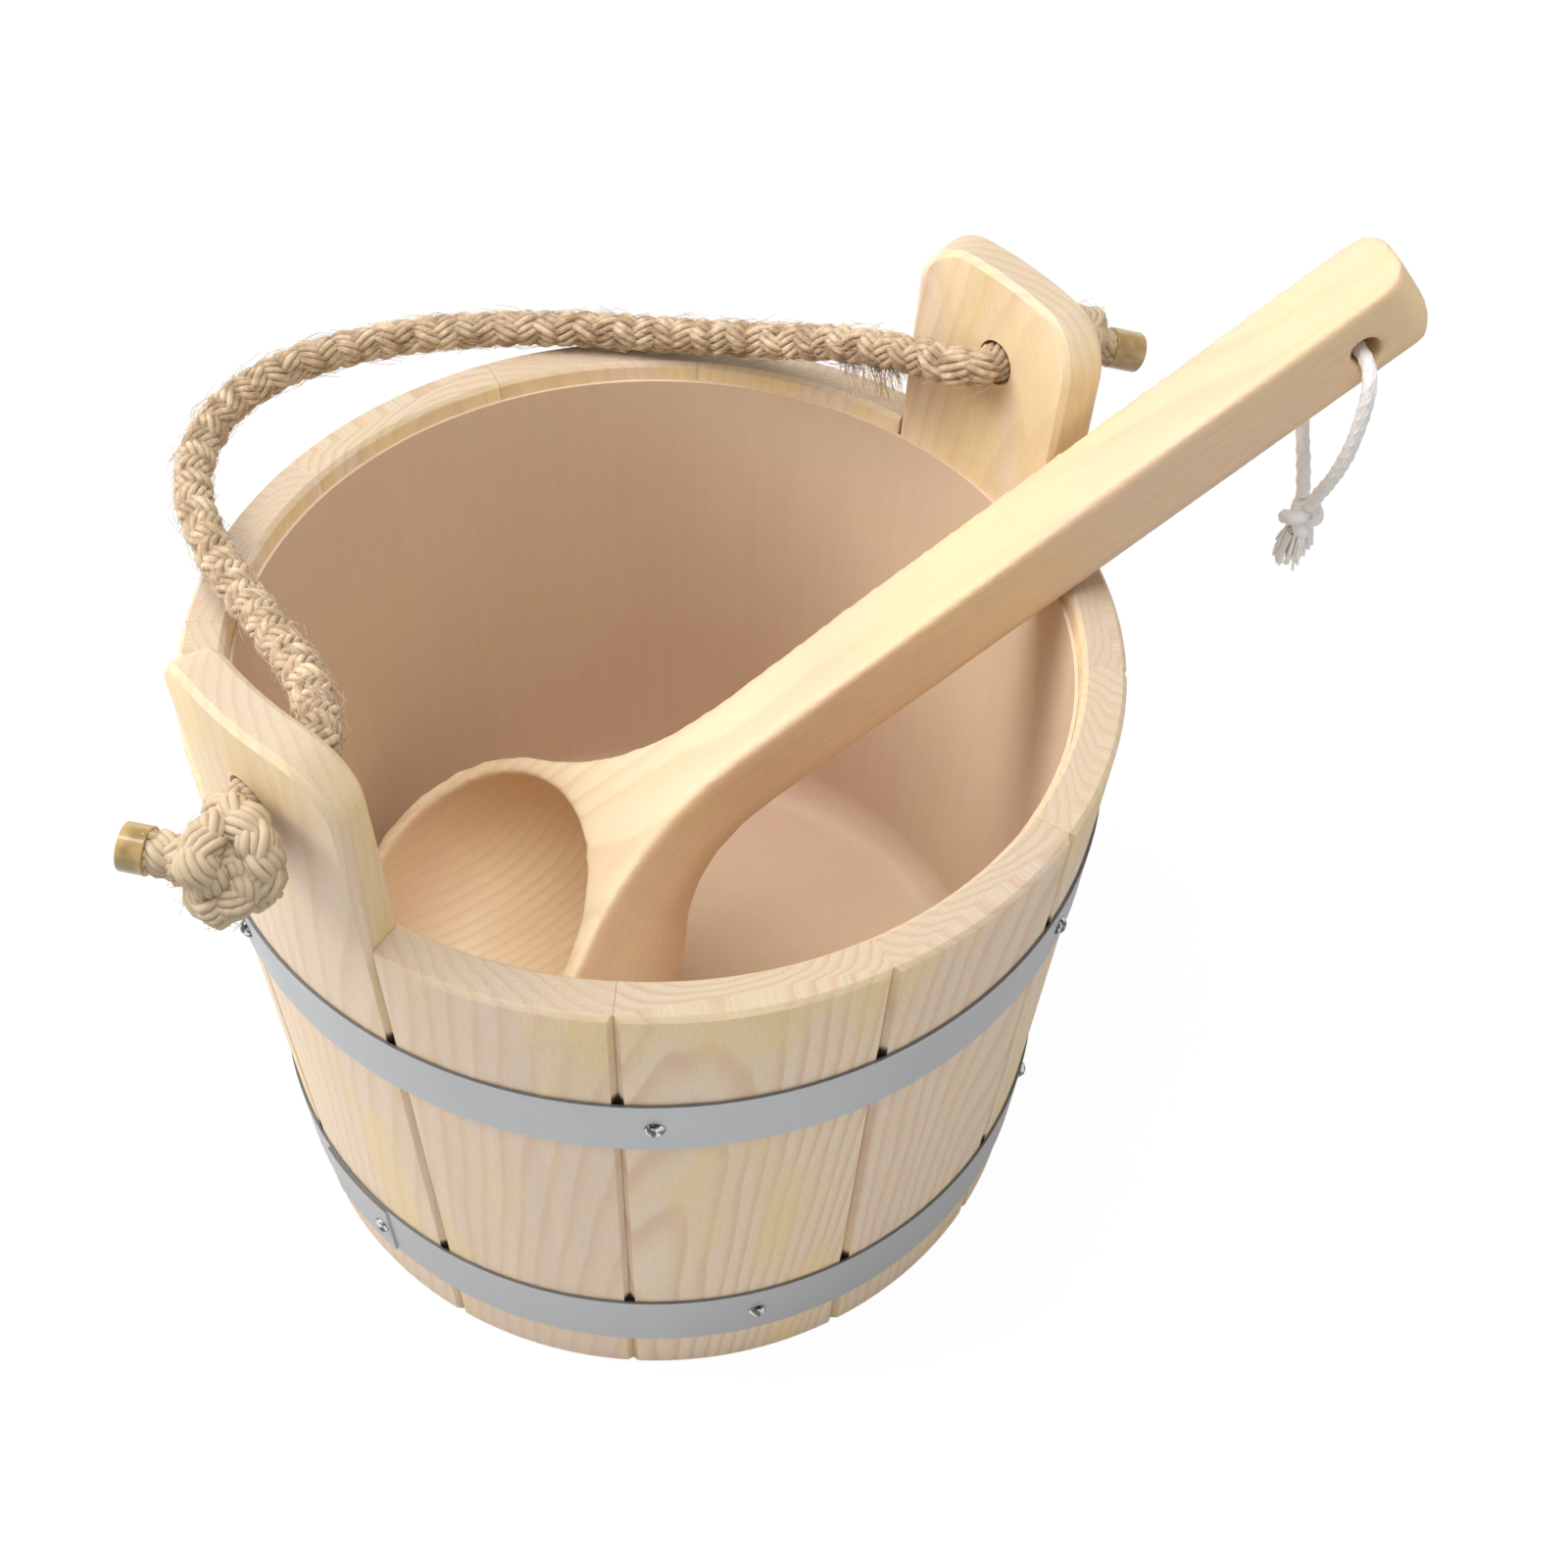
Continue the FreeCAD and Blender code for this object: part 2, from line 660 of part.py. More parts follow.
def ladle_placement():
    """Where the ladle lies: bowl on the liner's floor, handle on the rim."""
    turn = math.radians(size("ladle_turn"))
    slope = math.radians(size("ladle_slope"))
    tilt = math.radians(size("ladle_tilt"))
    level = FreeCAD.Vector(math.cos(turn), math.sin(turn), 0)
    aside = FreeCAD.Vector(-math.sin(turn), math.cos(turn), 0)
    along = level * math.cos(slope) + UP * math.sin(slope)
    square = along.cross(aside)
    across = aside * math.cos(tilt) + square * math.sin(tilt)
    normal = along.cross(across)
    down = FreeCAD.Vector(-along.z * tip_share(), 0, -normal.z)
    flat = size("bowl_radius") - size("bowl_round")
    round_part = size("bowl_round")
    bowl_reach = (
        flat * abs(down.x) + (size("bowl_depth") - round_part) * abs(down.z)
        + round_part * down.Length
    )
    floor = measure(f"{BOARD_TOP} + Sizes.fit_gap + Sizes.liner_wall")
    height = floor + size("ladle_rest_gap") + bowl_reach
    rim_height = size("bucket_height")
    rim_radius = measure(f"{inner_at('Sizes.bucket_height')} + Sizes.rim_bevel")
    side_offset = size("ladle_side_offset")
    half = size("handle_width") / 2 - size("handle_round")
    seats = []
    for side in (-half, half):
        beside = side_offset + side
        seat = level * math.sqrt(rim_radius ** 2 - beside ** 2) + aside * beside
        seat = seat + UP * rim_height
        lift = seat.dot(normal) + size("handle_depth") + size("ladle_rest_gap")
        lift = lift - side_offset * aside.dot(normal) - height * normal.z
        seats.append(lift / level.dot(normal))
    centre = level * min(seats) + aside * side_offset + UP * height
    frame = FreeCAD.Matrix(
        along.x, across.x, normal.x, centre.x,
        along.y, across.y, normal.y, centre.y,
        along.z, across.z, normal.z, centre.z,
        0, 0, 0, 1,
    )
    return FreeCAD.Placement(frame)


def tip_share():
    """How much flatter the bowl is towards its tip."""
    return size("bowl_tip_reach") / size("bowl_radius")


def ladle():
    """Bowl, neck and handle cut from one piece of wood."""
    form = bowl_shape("bowl_form", "Sizes.bowl_radius", "Sizes.bowl_depth", "Sizes.bowl_round")
    inside = "(Sizes.bowl_radius - Sizes.bowl_rim_width)"
    hollow = bowl_shape("hollow_form", inside, "Sizes.hollow_depth", HOLLOW_ROUND)
    hollow_share = (size("bowl_tip_reach") - size("bowl_rim_width")) / measure(inside)
    neck_length = size("neck_reach")
    sections = [neck_section(share * neck_length) for share in NECK_STATIONS]
    neck = built("neck", Part.makeLoft(sections, True, True))
    tip = half_of("bowl_tip", form.Shape, True, tip_share())
    wood = combined("MultiFuse", "ladle_wood", neck, handle(), tip)
    hole_reach = size("handle_reach") - size("loop_hole_setback")
    start = FreeCAD.Vector(hole_reach, -size("handle_width"), -size("loop_hole_depth"))
    hole = round_bar(
        "loop_hole",
        "Sizes.loop_hole_radius",
        "Sizes.handle_width * 2",
        FreeCAD.Placement(start, FreeCAD.Rotation(UP, ACROSS)),
    )
    cutters = group("ladle_cutters", [
        half_of("hollow_neck_side", hollow.Shape, False),
        half_of("hollow_tip_side", hollow.Shape, True, hollow_share),
        hole,
    ])
    piece = combined("Cut", "ladle", wood, cutters)
    piece.Placement = ladle_placement()
    return piece


# Rope and cotton cords

def cord(name, route, radius):
    """Round cord along straight runs that tangent arcs join."""
    edges = []
    radii = []
    start = route[0]
    for before, corner, after in zip(route, route[1:], route[2:]):
        into = (corner - before) / corner.distanceToPoint(before)
        out = (after - corner) / after.distanceToPoint(corner)
        run = min(corner.distanceToPoint(before), after.distanceToPoint(corner))
        reach = ARC_SHARE * run
        turn = into.getAngle(out)
        bend = reach / math.tan(turn / 2)
        radii.append(bend)
        inward = (out - into).normalize()
        middle = corner + inward * bend * (1 / math.cos(turn / 2) - 1)
        edges.append(Part.LineSegment(start, corner - into * reach).toShape())
        start = corner + out * reach
        edges.append(Part.Arc(corner - into * reach, middle, start).toShape())
    edges.append(Part.LineSegment(start, route[-1]).toShape())
    path = Part.Wire(edges)
    section = Part.Wire([Part.makeCircle(radius, route[0], route[1] - route[0])])
    tube = path.makePipeShell([section], True, False)
    full = math.pi * radius ** 2 * path.Length
    print(
        f"{name}: length {path.Length:.1f}, smallest bend {min(radii):.1f},"
        f" volume {tube.Volume / full:.4f} of section times length"
    )
    return built(name, tube)


ARC_SHARE = 0.45


def hole_middle(name, shift="0"):
    """Middle of an ear's rope hole, halfway through the wood."""
    height = measure("Sizes.bucket_height + Sizes.hole_rise")
    radius = measure(f"{outer_at(height)} - Sizes.stave_thickness / 2")
    return polar(radius, measure(f"{middle_angle(name)} + {shift}"), height)


LEFT_HOLE = hole_middle("ear_stave_left", "Sizes.left_hole_shift")
RIGHT_HOLE = hole_middle("ear_stave_right")
CHORD = (RIGHT_HOLE - LEFT_HOLE).normalize()


def rope_bore():
    """One straight bore through both ears."""
    beyond = CHORD * size("rim_radius")
    return round_bar(
        "rope_bore",
        "Sizes.rope_hole_radius",
        str((RIGHT_HOLE - LEFT_HOLE).Length + 2 * beyond.Length),
        FreeCAD.Placement(LEFT_HOLE - beyond, FreeCAD.Rotation(UP, CHORD)),
    )


# Where the rope lies: out of the left hole, over the rim, round the back and up to
# the right hole, measured from the bucket's axis.
ROPE_ROUTE = [
    (-68.5, -75.1, 225.3),
    (-72.3, -62.0, 220.5),
    (-80.0, -44.0, 214.0),
    (-91.5, -25.5, 207.0),
    (-104.0, -7.0, 200.5),
    (-117.5, 13.5, 196.8),
    (-128.6, 36.0, 196.2),
    (-131.2, 58.0, 196.1),
    (-124.6, 79.5, 196.1),
    (-109.5, 95.8, 196.1),
    (-88.5, 107.0, 196.1),
    (-63.0, 114.3, 196.1),
    (-36.0, 117.2, 196.1),
    (-9.0, 115.8, 196.6),
    (14.0, 110.8, 200.2),
    (33.5, 102.4, 206.8),
    (50.0, 91.2, 215.3),
    (64.9, 78.4, 222.0),
]
SEAM_INSIDE = 3.0
EXIT_RUN = 5.6


def rope_span():
    """The rope from one ear to the other."""
    left = LEFT_HOLE + CHORD * SEAM_INSIDE
    right = RIGHT_HOLE - CHORD * SEAM_INSIDE
    near_left = left + CHORD * EXIT_RUN
    near_right = right - CHORD * EXIT_RUN
    step = -CHORD * EXIT_RUN
    turned_once = near_right + FreeCAD.Rotation(UP, -30).multVec(step)
    turned_twice = turned_once + FreeCAD.Rotation(UP, -60).multVec(step)
    route = [left, near_left]
    route += [FreeCAD.Vector(*point) for point in ROPE_ROUTE]
    route += [turned_twice, turned_once, near_right, right]
    return cord("rope_span", route, size("rope_radius"))


def knot_place(side):
    """Middle of a knot, beside and below the line through the holes."""
    hole, outward_way = (
        (LEFT_HOLE, -CHORD) if side == "left" else (RIGHT_HOLE, CHORD)
    )
    aside = UP.cross(outward_way)
    tilt = math.radians(size("knot_turn_tilt"))
    half = size("knot_turn_shift") + size("rope_radius")
    half = half + size("knot_ring_radius") * math.sin(tilt)
    out = size("stave_thickness") / 2 + size("knot_gap") + half
    centre = hole + outward_way * out + aside * size(side + "_knot_side")
    return hole, outward_way, centre - UP * size("knot_drop")


def tail_direction(side):
    """Which way a rope end points out of its knot."""
    outward_way = knot_place(side)[1]
    aside = UP.cross(outward_way)
    turn = FreeCAD.Rotation(UP, size(side + "_tail_lean"))
    slope = FreeCAD.Rotation(aside, -size(side + "_tail_slope"))
    return turn.multVec(slope.multVec(outward_way))


def rope_knot(side):
    """Two turns of rope, the end in the hole and the end that leaves the knot."""
    name = "rope_knot_" + side
    hole, outward_way, centre = knot_place(side)
    aside = UP.cross(outward_way)
    parts = []
    for turn_name, way in (("inner", -1), ("outer", 1)):
        lean = FreeCAD.Rotation(aside, way * size("knot_turn_tilt"))
        ring = doc.addObject("Part::Torus", f"{name}_{turn_name}_turn")
        ring.setExpression("Radius1", "Sizes.knot_ring_radius")
        ring.setExpression("Radius2", "Sizes.rope_radius")
        place = centre + outward_way * way * size("knot_turn_shift")
        ring.Placement = FreeCAD.Placement(
            place, lean.multiply(FreeCAD.Rotation(UP, outward_way))
        )
        parts.append(ring)
    start = hole - outward_way * SEAM_INSIDE
    length = (centre - start).dot(outward_way)
    parts.append(round_bar(
        name + "_stub",
        "Sizes.rope_radius",
        str(length),
        FreeCAD.Placement(start, FreeCAD.Rotation(UP, outward_way)),
    ))
    parts.append(round_bar(
        name + "_end",
        "Sizes.rope_radius",
        "Sizes.tail_start",
        FreeCAD.Placement(centre, FreeCAD.Rotation(UP, tail_direction(side))),
    ))
    return combined("MultiFuse", name, *parts)


def rope_tail(side):
    """Rope end wrapped in tape."""
    way = tail_direction(side)
    centre = knot_place(side)[2]
    tail = round_bar(
        "rope_tail_" + side,
        "Sizes.rope_radius + Sizes.tape_thickness",
        f"Sizes.{side}_tail_length",
        FreeCAD.Placement(
            centre + way * (size("tail_start") + size("fit_gap")),
            FreeCAD.Rotation(UP, way),
        ),
    )
    tail.Label = "rope_tail_" + side
    return tail


# The loop's two strands: distance from the handle's middle line and drop below the
# loop hole. They end on the cotton knot.
FRONT_STRAND = [
    (0.0, 1.3), (6.6, 1.3), (12.7, 1.7), (16.6, 6.0), (17.4, 14.0),
    (16.8, 26.0), (13.4, 38.5), (8.6, 48.3), (6.15, 54.5),
]
BACK_STRAND = [
    (0.0, 1.3), (6.6, 1.3), (12.7, 1.7), (16.0, 6.2), (16.2, 14.5),
    (13.6, 27.0), (7.6, 38.5), (1.2, 47.6), (-1.85, 54.5),
]


def loop_pieces(place):
    """Cotton loop of the ladle with its knot and frayed end."""
    reach = size("handle_reach") - size("loop_hole_setback")
    hole = place.multVec(FreeCAD.Vector(reach, 0, -size("loop_hole_depth")))
    across = place.Rotation.multVec(ACROSS)
    pieces = []
    for name, way, strand in (
        ("loop_strand_front", -1, FRONT_STRAND),
        ("loop_strand_back", 1, BACK_STRAND),
    ):
        route = [hole + across * way * aside - UP * drop for aside, drop in strand]
        pieces.append(cord(name, route, size("cotton_radius")))
    middle = hole - across * size("loop_knot_side") - UP * size("loop_length")
    knot = doc.addObject("Part::Ellipsoid", "loop_knot")
    knot.Label = "loop_knot"
    knot.setExpression("Radius1", "Sizes.cotton_knot_reach")
    knot.setExpression("Radius2", "Sizes.cotton_knot_radius")
    knot.Angle1 = -KNOT_FLATS
    knot.Angle2 = KNOT_FLATS
    knot.Placement.Base = middle
    foot = size("cotton_knot_reach") * math.sin(math.radians(KNOT_FLATS))
    foot = foot + size("fit_gap") + size("tassel_length")
    tassel = doc.addObject("Part::Cone", "loop_tassel")
    tassel.Label = "loop_tassel"
    tassel.setExpression("Radius1", "Sizes.tassel_radius")
    tassel.setExpression("Radius2", "Sizes.cotton_knot_radius * 0.7")
    tassel.setExpression("Height", "Sizes.tassel_length")
    tassel.Placement.Base = middle - UP * foot
    return pieces + [knot, tassel]


KNOT_FLATS = 38.0


# The object

nodes = {}


def keep(item):
    """Adds a finished piece under its own name."""
    nodes[item.Label] = item
    return item


bores = {name: [] for name, _ in STAVES}


def drill(bore, angle):
    """Notes a nail bore for each stave that it reaches."""
    margin = math.degrees(2 * size("nail_shank_radius") / size("base_radius"))
    for name, (start, width) in BOUNDS.items():
        past = (angle - measure(start) + margin) % 360.0
        if past < measure(width) + 2 * margin:
            bores[name].append(bore)


for which, (low, width) in HOOPS.items():
    height = measure(f"{low} + {width} / 2")
    lap_angle = size(which + "_lap_angle")
    first = size(which + "_nail_angle")
    spots = [first + k * size("nail_spacing") for k in range(NAILS_PER_HOOP)]
    nails = [nail(f"{which}_nail_{k}", height, spot, 1) for k, spot in enumerate(spots, 1)]
    keep(group(which + "_hoop_nails", nails))
    keep(nail(which + "_hoop_lap_rivet", height, lap_angle, 2))
    own = []
    for k, spot in enumerate(spots + [lap_angle], 1):
        bore = nail_bore(f"{which}_{k}", height, spot)
        own.append(bore)
        drill(bore, spot)
    strip = hoop(which + "_hoop", low, width, f"Sizes.{which}_lap_angle")
    keep(combined("Cut", which + "_hoop", strip, group(which + "_bores", own)))

through = rope_bore()
for name, _ in STAVES:
    is_ear = name.startswith("ear")
    wood = ear(name) if is_ear else stave(name)
    place_by_angle(wood, middle_angle(name))
    cutters = bores[name] + ([through] if is_ear else [])
    if cutters:
        keep(combined("Cut", name, wood, group(name + "_bores", cutters)))
    else:
        wood.Label = name
        keep(wood)

keep(liner())
keep(bottom_board())
lying = keep(ladle())
keep(rope_span())
for side in ("left", "right"):
    keep(rope_knot(side))
    keep(rope_tail(side))
for piece in loop_pieces(lying.Placement):
    keep(piece)

doc.recompute()
for item in doc.Objects:
    if "Invalid" in item.State or "Error" in item.State:
        raise RuntimeError(f"{item.Label} failed: {item.State}")
for name, item in nodes.items():
    shape = item.Shape
    if shape.isNull() or not shape.isValid() or not shape.Solids:
        raise RuntimeError(f"{name} has no valid solid")

os.makedirs("parts", exist_ok=True)
for name, item in nodes.items():
    item.Shape.exportStep(f"parts/{name}.step")
print(f"{len(nodes)} pieces")
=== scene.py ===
"""Sauna bucket with a braided jute rope, and its wooden ladle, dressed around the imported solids."""

import json
import math
import random
from itertools import product

import bmesh
import bpy
import numpy as np
from mathutils import Matrix, Quaternion, Vector
from mathutils.kdtree import KDTree

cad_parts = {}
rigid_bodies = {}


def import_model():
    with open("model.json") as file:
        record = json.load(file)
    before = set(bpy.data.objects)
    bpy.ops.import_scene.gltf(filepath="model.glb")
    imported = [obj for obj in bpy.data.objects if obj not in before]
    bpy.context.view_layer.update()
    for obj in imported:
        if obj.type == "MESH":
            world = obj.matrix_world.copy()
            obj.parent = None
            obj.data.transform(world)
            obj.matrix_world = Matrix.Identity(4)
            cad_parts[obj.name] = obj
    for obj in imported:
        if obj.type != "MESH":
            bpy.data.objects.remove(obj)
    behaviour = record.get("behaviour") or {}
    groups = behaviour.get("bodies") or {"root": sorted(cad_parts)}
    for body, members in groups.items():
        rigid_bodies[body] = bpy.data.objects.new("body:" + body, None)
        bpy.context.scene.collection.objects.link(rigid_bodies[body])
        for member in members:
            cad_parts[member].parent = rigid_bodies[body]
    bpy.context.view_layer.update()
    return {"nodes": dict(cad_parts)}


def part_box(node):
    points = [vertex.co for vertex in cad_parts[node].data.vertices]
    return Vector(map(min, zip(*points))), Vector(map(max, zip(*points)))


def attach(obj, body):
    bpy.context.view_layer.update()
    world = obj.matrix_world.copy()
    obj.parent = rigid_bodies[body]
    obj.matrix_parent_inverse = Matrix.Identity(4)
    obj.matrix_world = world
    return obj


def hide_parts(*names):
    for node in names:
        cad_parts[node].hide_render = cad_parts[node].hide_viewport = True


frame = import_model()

bl_info = {
    "name": "Sauna Bucket",
    "version": (1, 0, 0),
    "blender": (4, 5, 0),
    "location": "View3D > Sidebar > Bucket",
    "description": "Staved pine bucket with hoops, a braided rope and a ladle",
    "category": "Object",
}

MM = 0.001
UP = Vector((0, 0, 1))

# The bucket's rim and the upper edges of its hoops.
RIM_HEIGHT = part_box("stave_01")[1][2]
HOOP_TOPS = [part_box(name)[1][2] for name in ("upper_hoop", "lower_hoop")]

# The ladle's place, as in the solids: bowl centre, handle direction and roll.
LADLE_CENTRE = Vector((-60.804, -20.175, 80.971)) * MM
LADLE_TURN = math.radians(17.73)
LADLE_SLOPE = math.radians(38.62)
LADLE_TILT = math.radians(-3.0)

# The middle of the loop's hole in the handle, seen from the bowl centre.
LOOP_HOLE_REACH = 299.9 * MM
LOOP_HOLE_DEPTH = 13.5 * MM

# The rope holes, halfway through the ears' wood.
HOLE_HEIGHT = 226.0 * MM
HOLE_RADIUS = 117.95 * MM
LEFT_HOLE_ANGLE = math.radians(229.5)
RIGHT_HOLE_ANGLE = math.radians(40.5)

# The knots outside the ears, seen from the holes, and the taped ends that leave them.
KNOT_OUT = 19.54 * MM
KNOT_BELOW = 3.0 * MM
KNOT_ASIDE = {"left": 9.0 * MM, "right": -2.0 * MM}
TAIL_TURN = {"left": math.radians(172), "right": math.radians(14.4)}
TAIL_RISE = {"left": math.radians(3), "right": math.radians(-19)}
TAIL_START = 14.9 * MM
TAIL_LENGTH = {"left": 6.0 * MM, "right": 9.2 * MM}


def polar(radius, angle, height):
    return Vector((radius * math.cos(angle), radius * math.sin(angle), height))


LEFT_HOLE = polar(HOLE_RADIUS, LEFT_HOLE_ANGLE, HOLE_HEIGHT)
RIGHT_HOLE = polar(HOLE_RADIUS, RIGHT_HOLE_ANGLE, HOLE_HEIGHT)
CHORD = (RIGHT_HOLE - LEFT_HOLE).normalized()


def knot_place(side):
    """A rope hole, the rope's way out of it and the middle of the knot outside it."""
    hole, out = (LEFT_HOLE, -CHORD) if side == "left" else (RIGHT_HOLE, CHORD)
    centre = hole + out * KNOT_OUT + UP.cross(out) * KNOT_ASIDE[side] - UP * KNOT_BELOW
    return hole, out, centre


def tail_way(side):
    """Direction in which a taped end leaves its knot."""
    return polar(math.cos(TAIL_RISE[side]), TAIL_TURN[side], math.sin(TAIL_RISE[side]))


def ladle_frame():
    """Handle direction, sideways direction and rim normal of the ladle."""
    level = Vector((math.cos(LADLE_TURN), math.sin(LADLE_TURN), 0))
    aside = UP.cross(level)
    along = level * math.cos(LADLE_SLOPE) + UP * math.sin(LADLE_SLOPE)
    square = along.cross(aside)
    across = aside * math.cos(LADLE_TILT) + square * math.sin(LADLE_TILT)
    return along, across, along.cross(across)


ALONG, ACROSS, NORMAL = ladle_frame()
LOOP_HOLE = LADLE_CENTRE + ALONG * LOOP_HOLE_REACH - NORMAL * LOOP_HOLE_DEPTH


# Materials

class Term:
    """A shader socket that takes part in sums and products."""

    def __init__(self, nodes, socket):
        self.nodes = nodes
        self.socket = socket

    def combined(self, operation, first, second):
        return self.nodes.node("ShaderNodeMath", {"operation": operation}, {0: first, 1: second})

    def __add__(self, other):
        return self.combined("ADD", self, other)

    def __radd__(self, other):
        return self.combined("ADD", other, self)

    def __sub__(self, other):
        return self.combined("SUBTRACT", self, other)

    def __rsub__(self, other):
        return self.combined("SUBTRACT", other, self)

    def __mul__(self, other):
        return self.combined("MULTIPLY", self, other)

    def __rmul__(self, other):
        return self.combined("MULTIPLY", other, self)

    def __truediv__(self, other):
        return self.combined("DIVIDE", self, other)

    def __rtruediv__(self, other):
        return self.combined("DIVIDE", other, self)


class Nodes:
    """The nodes of a material or of the world, built from expressions."""

    def __init__(self, owner):
        owner.use_nodes = True
        self.tree = owner.node_tree

    def node(self, kind, settings=None, inputs=None, output=0):
        made = self.tree.nodes.new(kind)
        for key, value in (settings or {}).items():
            setattr(made, key, value)
        for key, value in (inputs or {}).items():
            self.put(made.inputs[key], value)
        return Term(self, made.outputs[output])

    def put(self, socket, value):
        if isinstance(value, Term):
            self.tree.links.new(value.socket, socket)
        elif isinstance(value, tuple) and socket.type == "RGBA":
            socket.default_value = (*value[:3], 1.0)
        else:
            socket.default_value = value

    def place(self):
        return self.node("ShaderNodeTexCoord", output="Object")

    def attribute(self, name, output="Fac"):
        return self.node("ShaderNodeAttribute", {"attribute_name": name}, output=output)

    def ray(self, kind):
        """1 for one kind of ray, 0 for the others."""
        return self.node("ShaderNodeLightPath", output=kind)

    def mix(self, factor, first, second):
        """The first colour where the factor is 0, the second where it is 1.

        Of the Mix node's sockets, inputs 6 and 7 and output 2 are the colours."""
        inputs = {0: factor, 6: first, 7: second}
        return self.node("ShaderNodeMix", {"data_type": "RGBA"}, inputs, 2)

    def shade(self, colour, amount):
        """The colour times a number."""
        grey = self.node("ShaderNodeCombineXYZ", None, {0: amount, 1: amount, 2: amount})
        return self.node("ShaderNodeVectorMath", {"operation": "MULTIPLY"}, {0: colour, 1: grey})

    def height(self, place):
        return self.node("ShaderNodeSeparateXYZ", None, {0: place}, "Z")

    def scaled(self, place, across, along):
        """A place times one number on X and Y and another on Z."""
        scale = (across, across, along)
        return self.node("ShaderNodeMapping", None, {"Vector": place, "Scale": scale})

    def noise(self, place, scale, detail, roughness=0.5):
        inputs = {"Vector": place, "Scale": scale, "Detail": detail, "Roughness": roughness}
        return self.node("ShaderNodeTexNoise", None, inputs)

    def streaks(self, place, across, along, detail, roughness=0.5):
        """Noise that is drawn out along Z."""
        return self.noise(self.scaled(place, across, along), 1.0, detail, roughness)

    def ramp(self, value, low, high):
        """0 below low, 1 above high, smooth between."""
        inputs = {"Value": value, "From Min": low, "From Max": high}
        return self.node("ShaderNodeMapRange", {"interpolation_type": "SMOOTHSTEP"}, inputs)

    def bump(self, height, strength, distance):
        inputs = {"Height": height, "Strength": strength, "Distance": distance}
        return self.node("ShaderNodeBump", None, inputs)


class Finish(Nodes):
    """A material with one Principled shader."""

    def __init__(self, name):
        self.material = bpy.data.materials.new(name)
        super().__init__(self.material)
        self.shader = self.tree.nodes["Principled BSDF"]

    def set(self, **values):
        for key, value in values.items():
            self.put(self.shader.inputs[key.replace("_", " ")], value)
        return self.material


def srgb(red, green, blue):
    """Linear colour of an 8-bit one."""
    def linear(value):
        value /= 255.0
        return value / 12.92 if value <= 0.04045 else ((value + 0.055) / 1.055) ** 2.4

    return tuple(linear(value) for value in (red, green, blue))


# Noise scales are per millimetre of the tree in wood, and per metre elsewhere.
# Paler wood: a stave's own tone, and painted light on the ladle's top.
PALE_TONE_AND_PAINTED_LIGHT = srgb(250, 232, 196)
# Painted shade in the stave joints.
JOINT_SHADE = srgb(170, 146, 112)
# Painted shadow in the joints just above each hoop.
POCKET_SHADOW = srgb(34, 26, 20)
# Heights at which a joint fades out below the rim, and how far the rim's warm band goes.
JOINT_FADES = (RIM_HEIGHT - 6 * MM, RIM_HEIGHT - 1 * MM)
WARM_BAND = 30 * MM


def growth_rings(wood, grain, ring_gap):
    """1 in the dark late wood that ends each year, 0 in the wood between."""
    flat = wood.scaled(grain, 1.0, 0.0)
    reach = wood.node("ShaderNodeVectorMath", {"operation": "LENGTH"}, {0: flat}, "Value")
    wander = wood.streaks(grain, 0.035, 0.006, 2.0)
    drift = wood.streaks(grain, 0.012, 0.002, 1.0)
    years = reach / ring_gap + wander * 2.6 + drift * 3.0
    season = wood.node("ShaderNodeMath", {"operation": "FRACT"}, {0: years})
    rise = wood.ramp(season, 0.2, 0.86)
    fall = 1.0 - wood.ramp(season, 0.88, 1.0)
    return rise * rise * fall


def hoop_pockets(wood, height):
    """1 in a narrow band over each hoop, where the joints are in shadow."""
    pocket = 0.0
    for top in HOOP_TOPS:
        above = 1.0 - wood.ramp(height, top + 1.2 * MM, top + 4.2 * MM)
        pocket = wood.ramp(height, top - 4 * MM, top - 1 * MM) * above + pocket
    return pocket


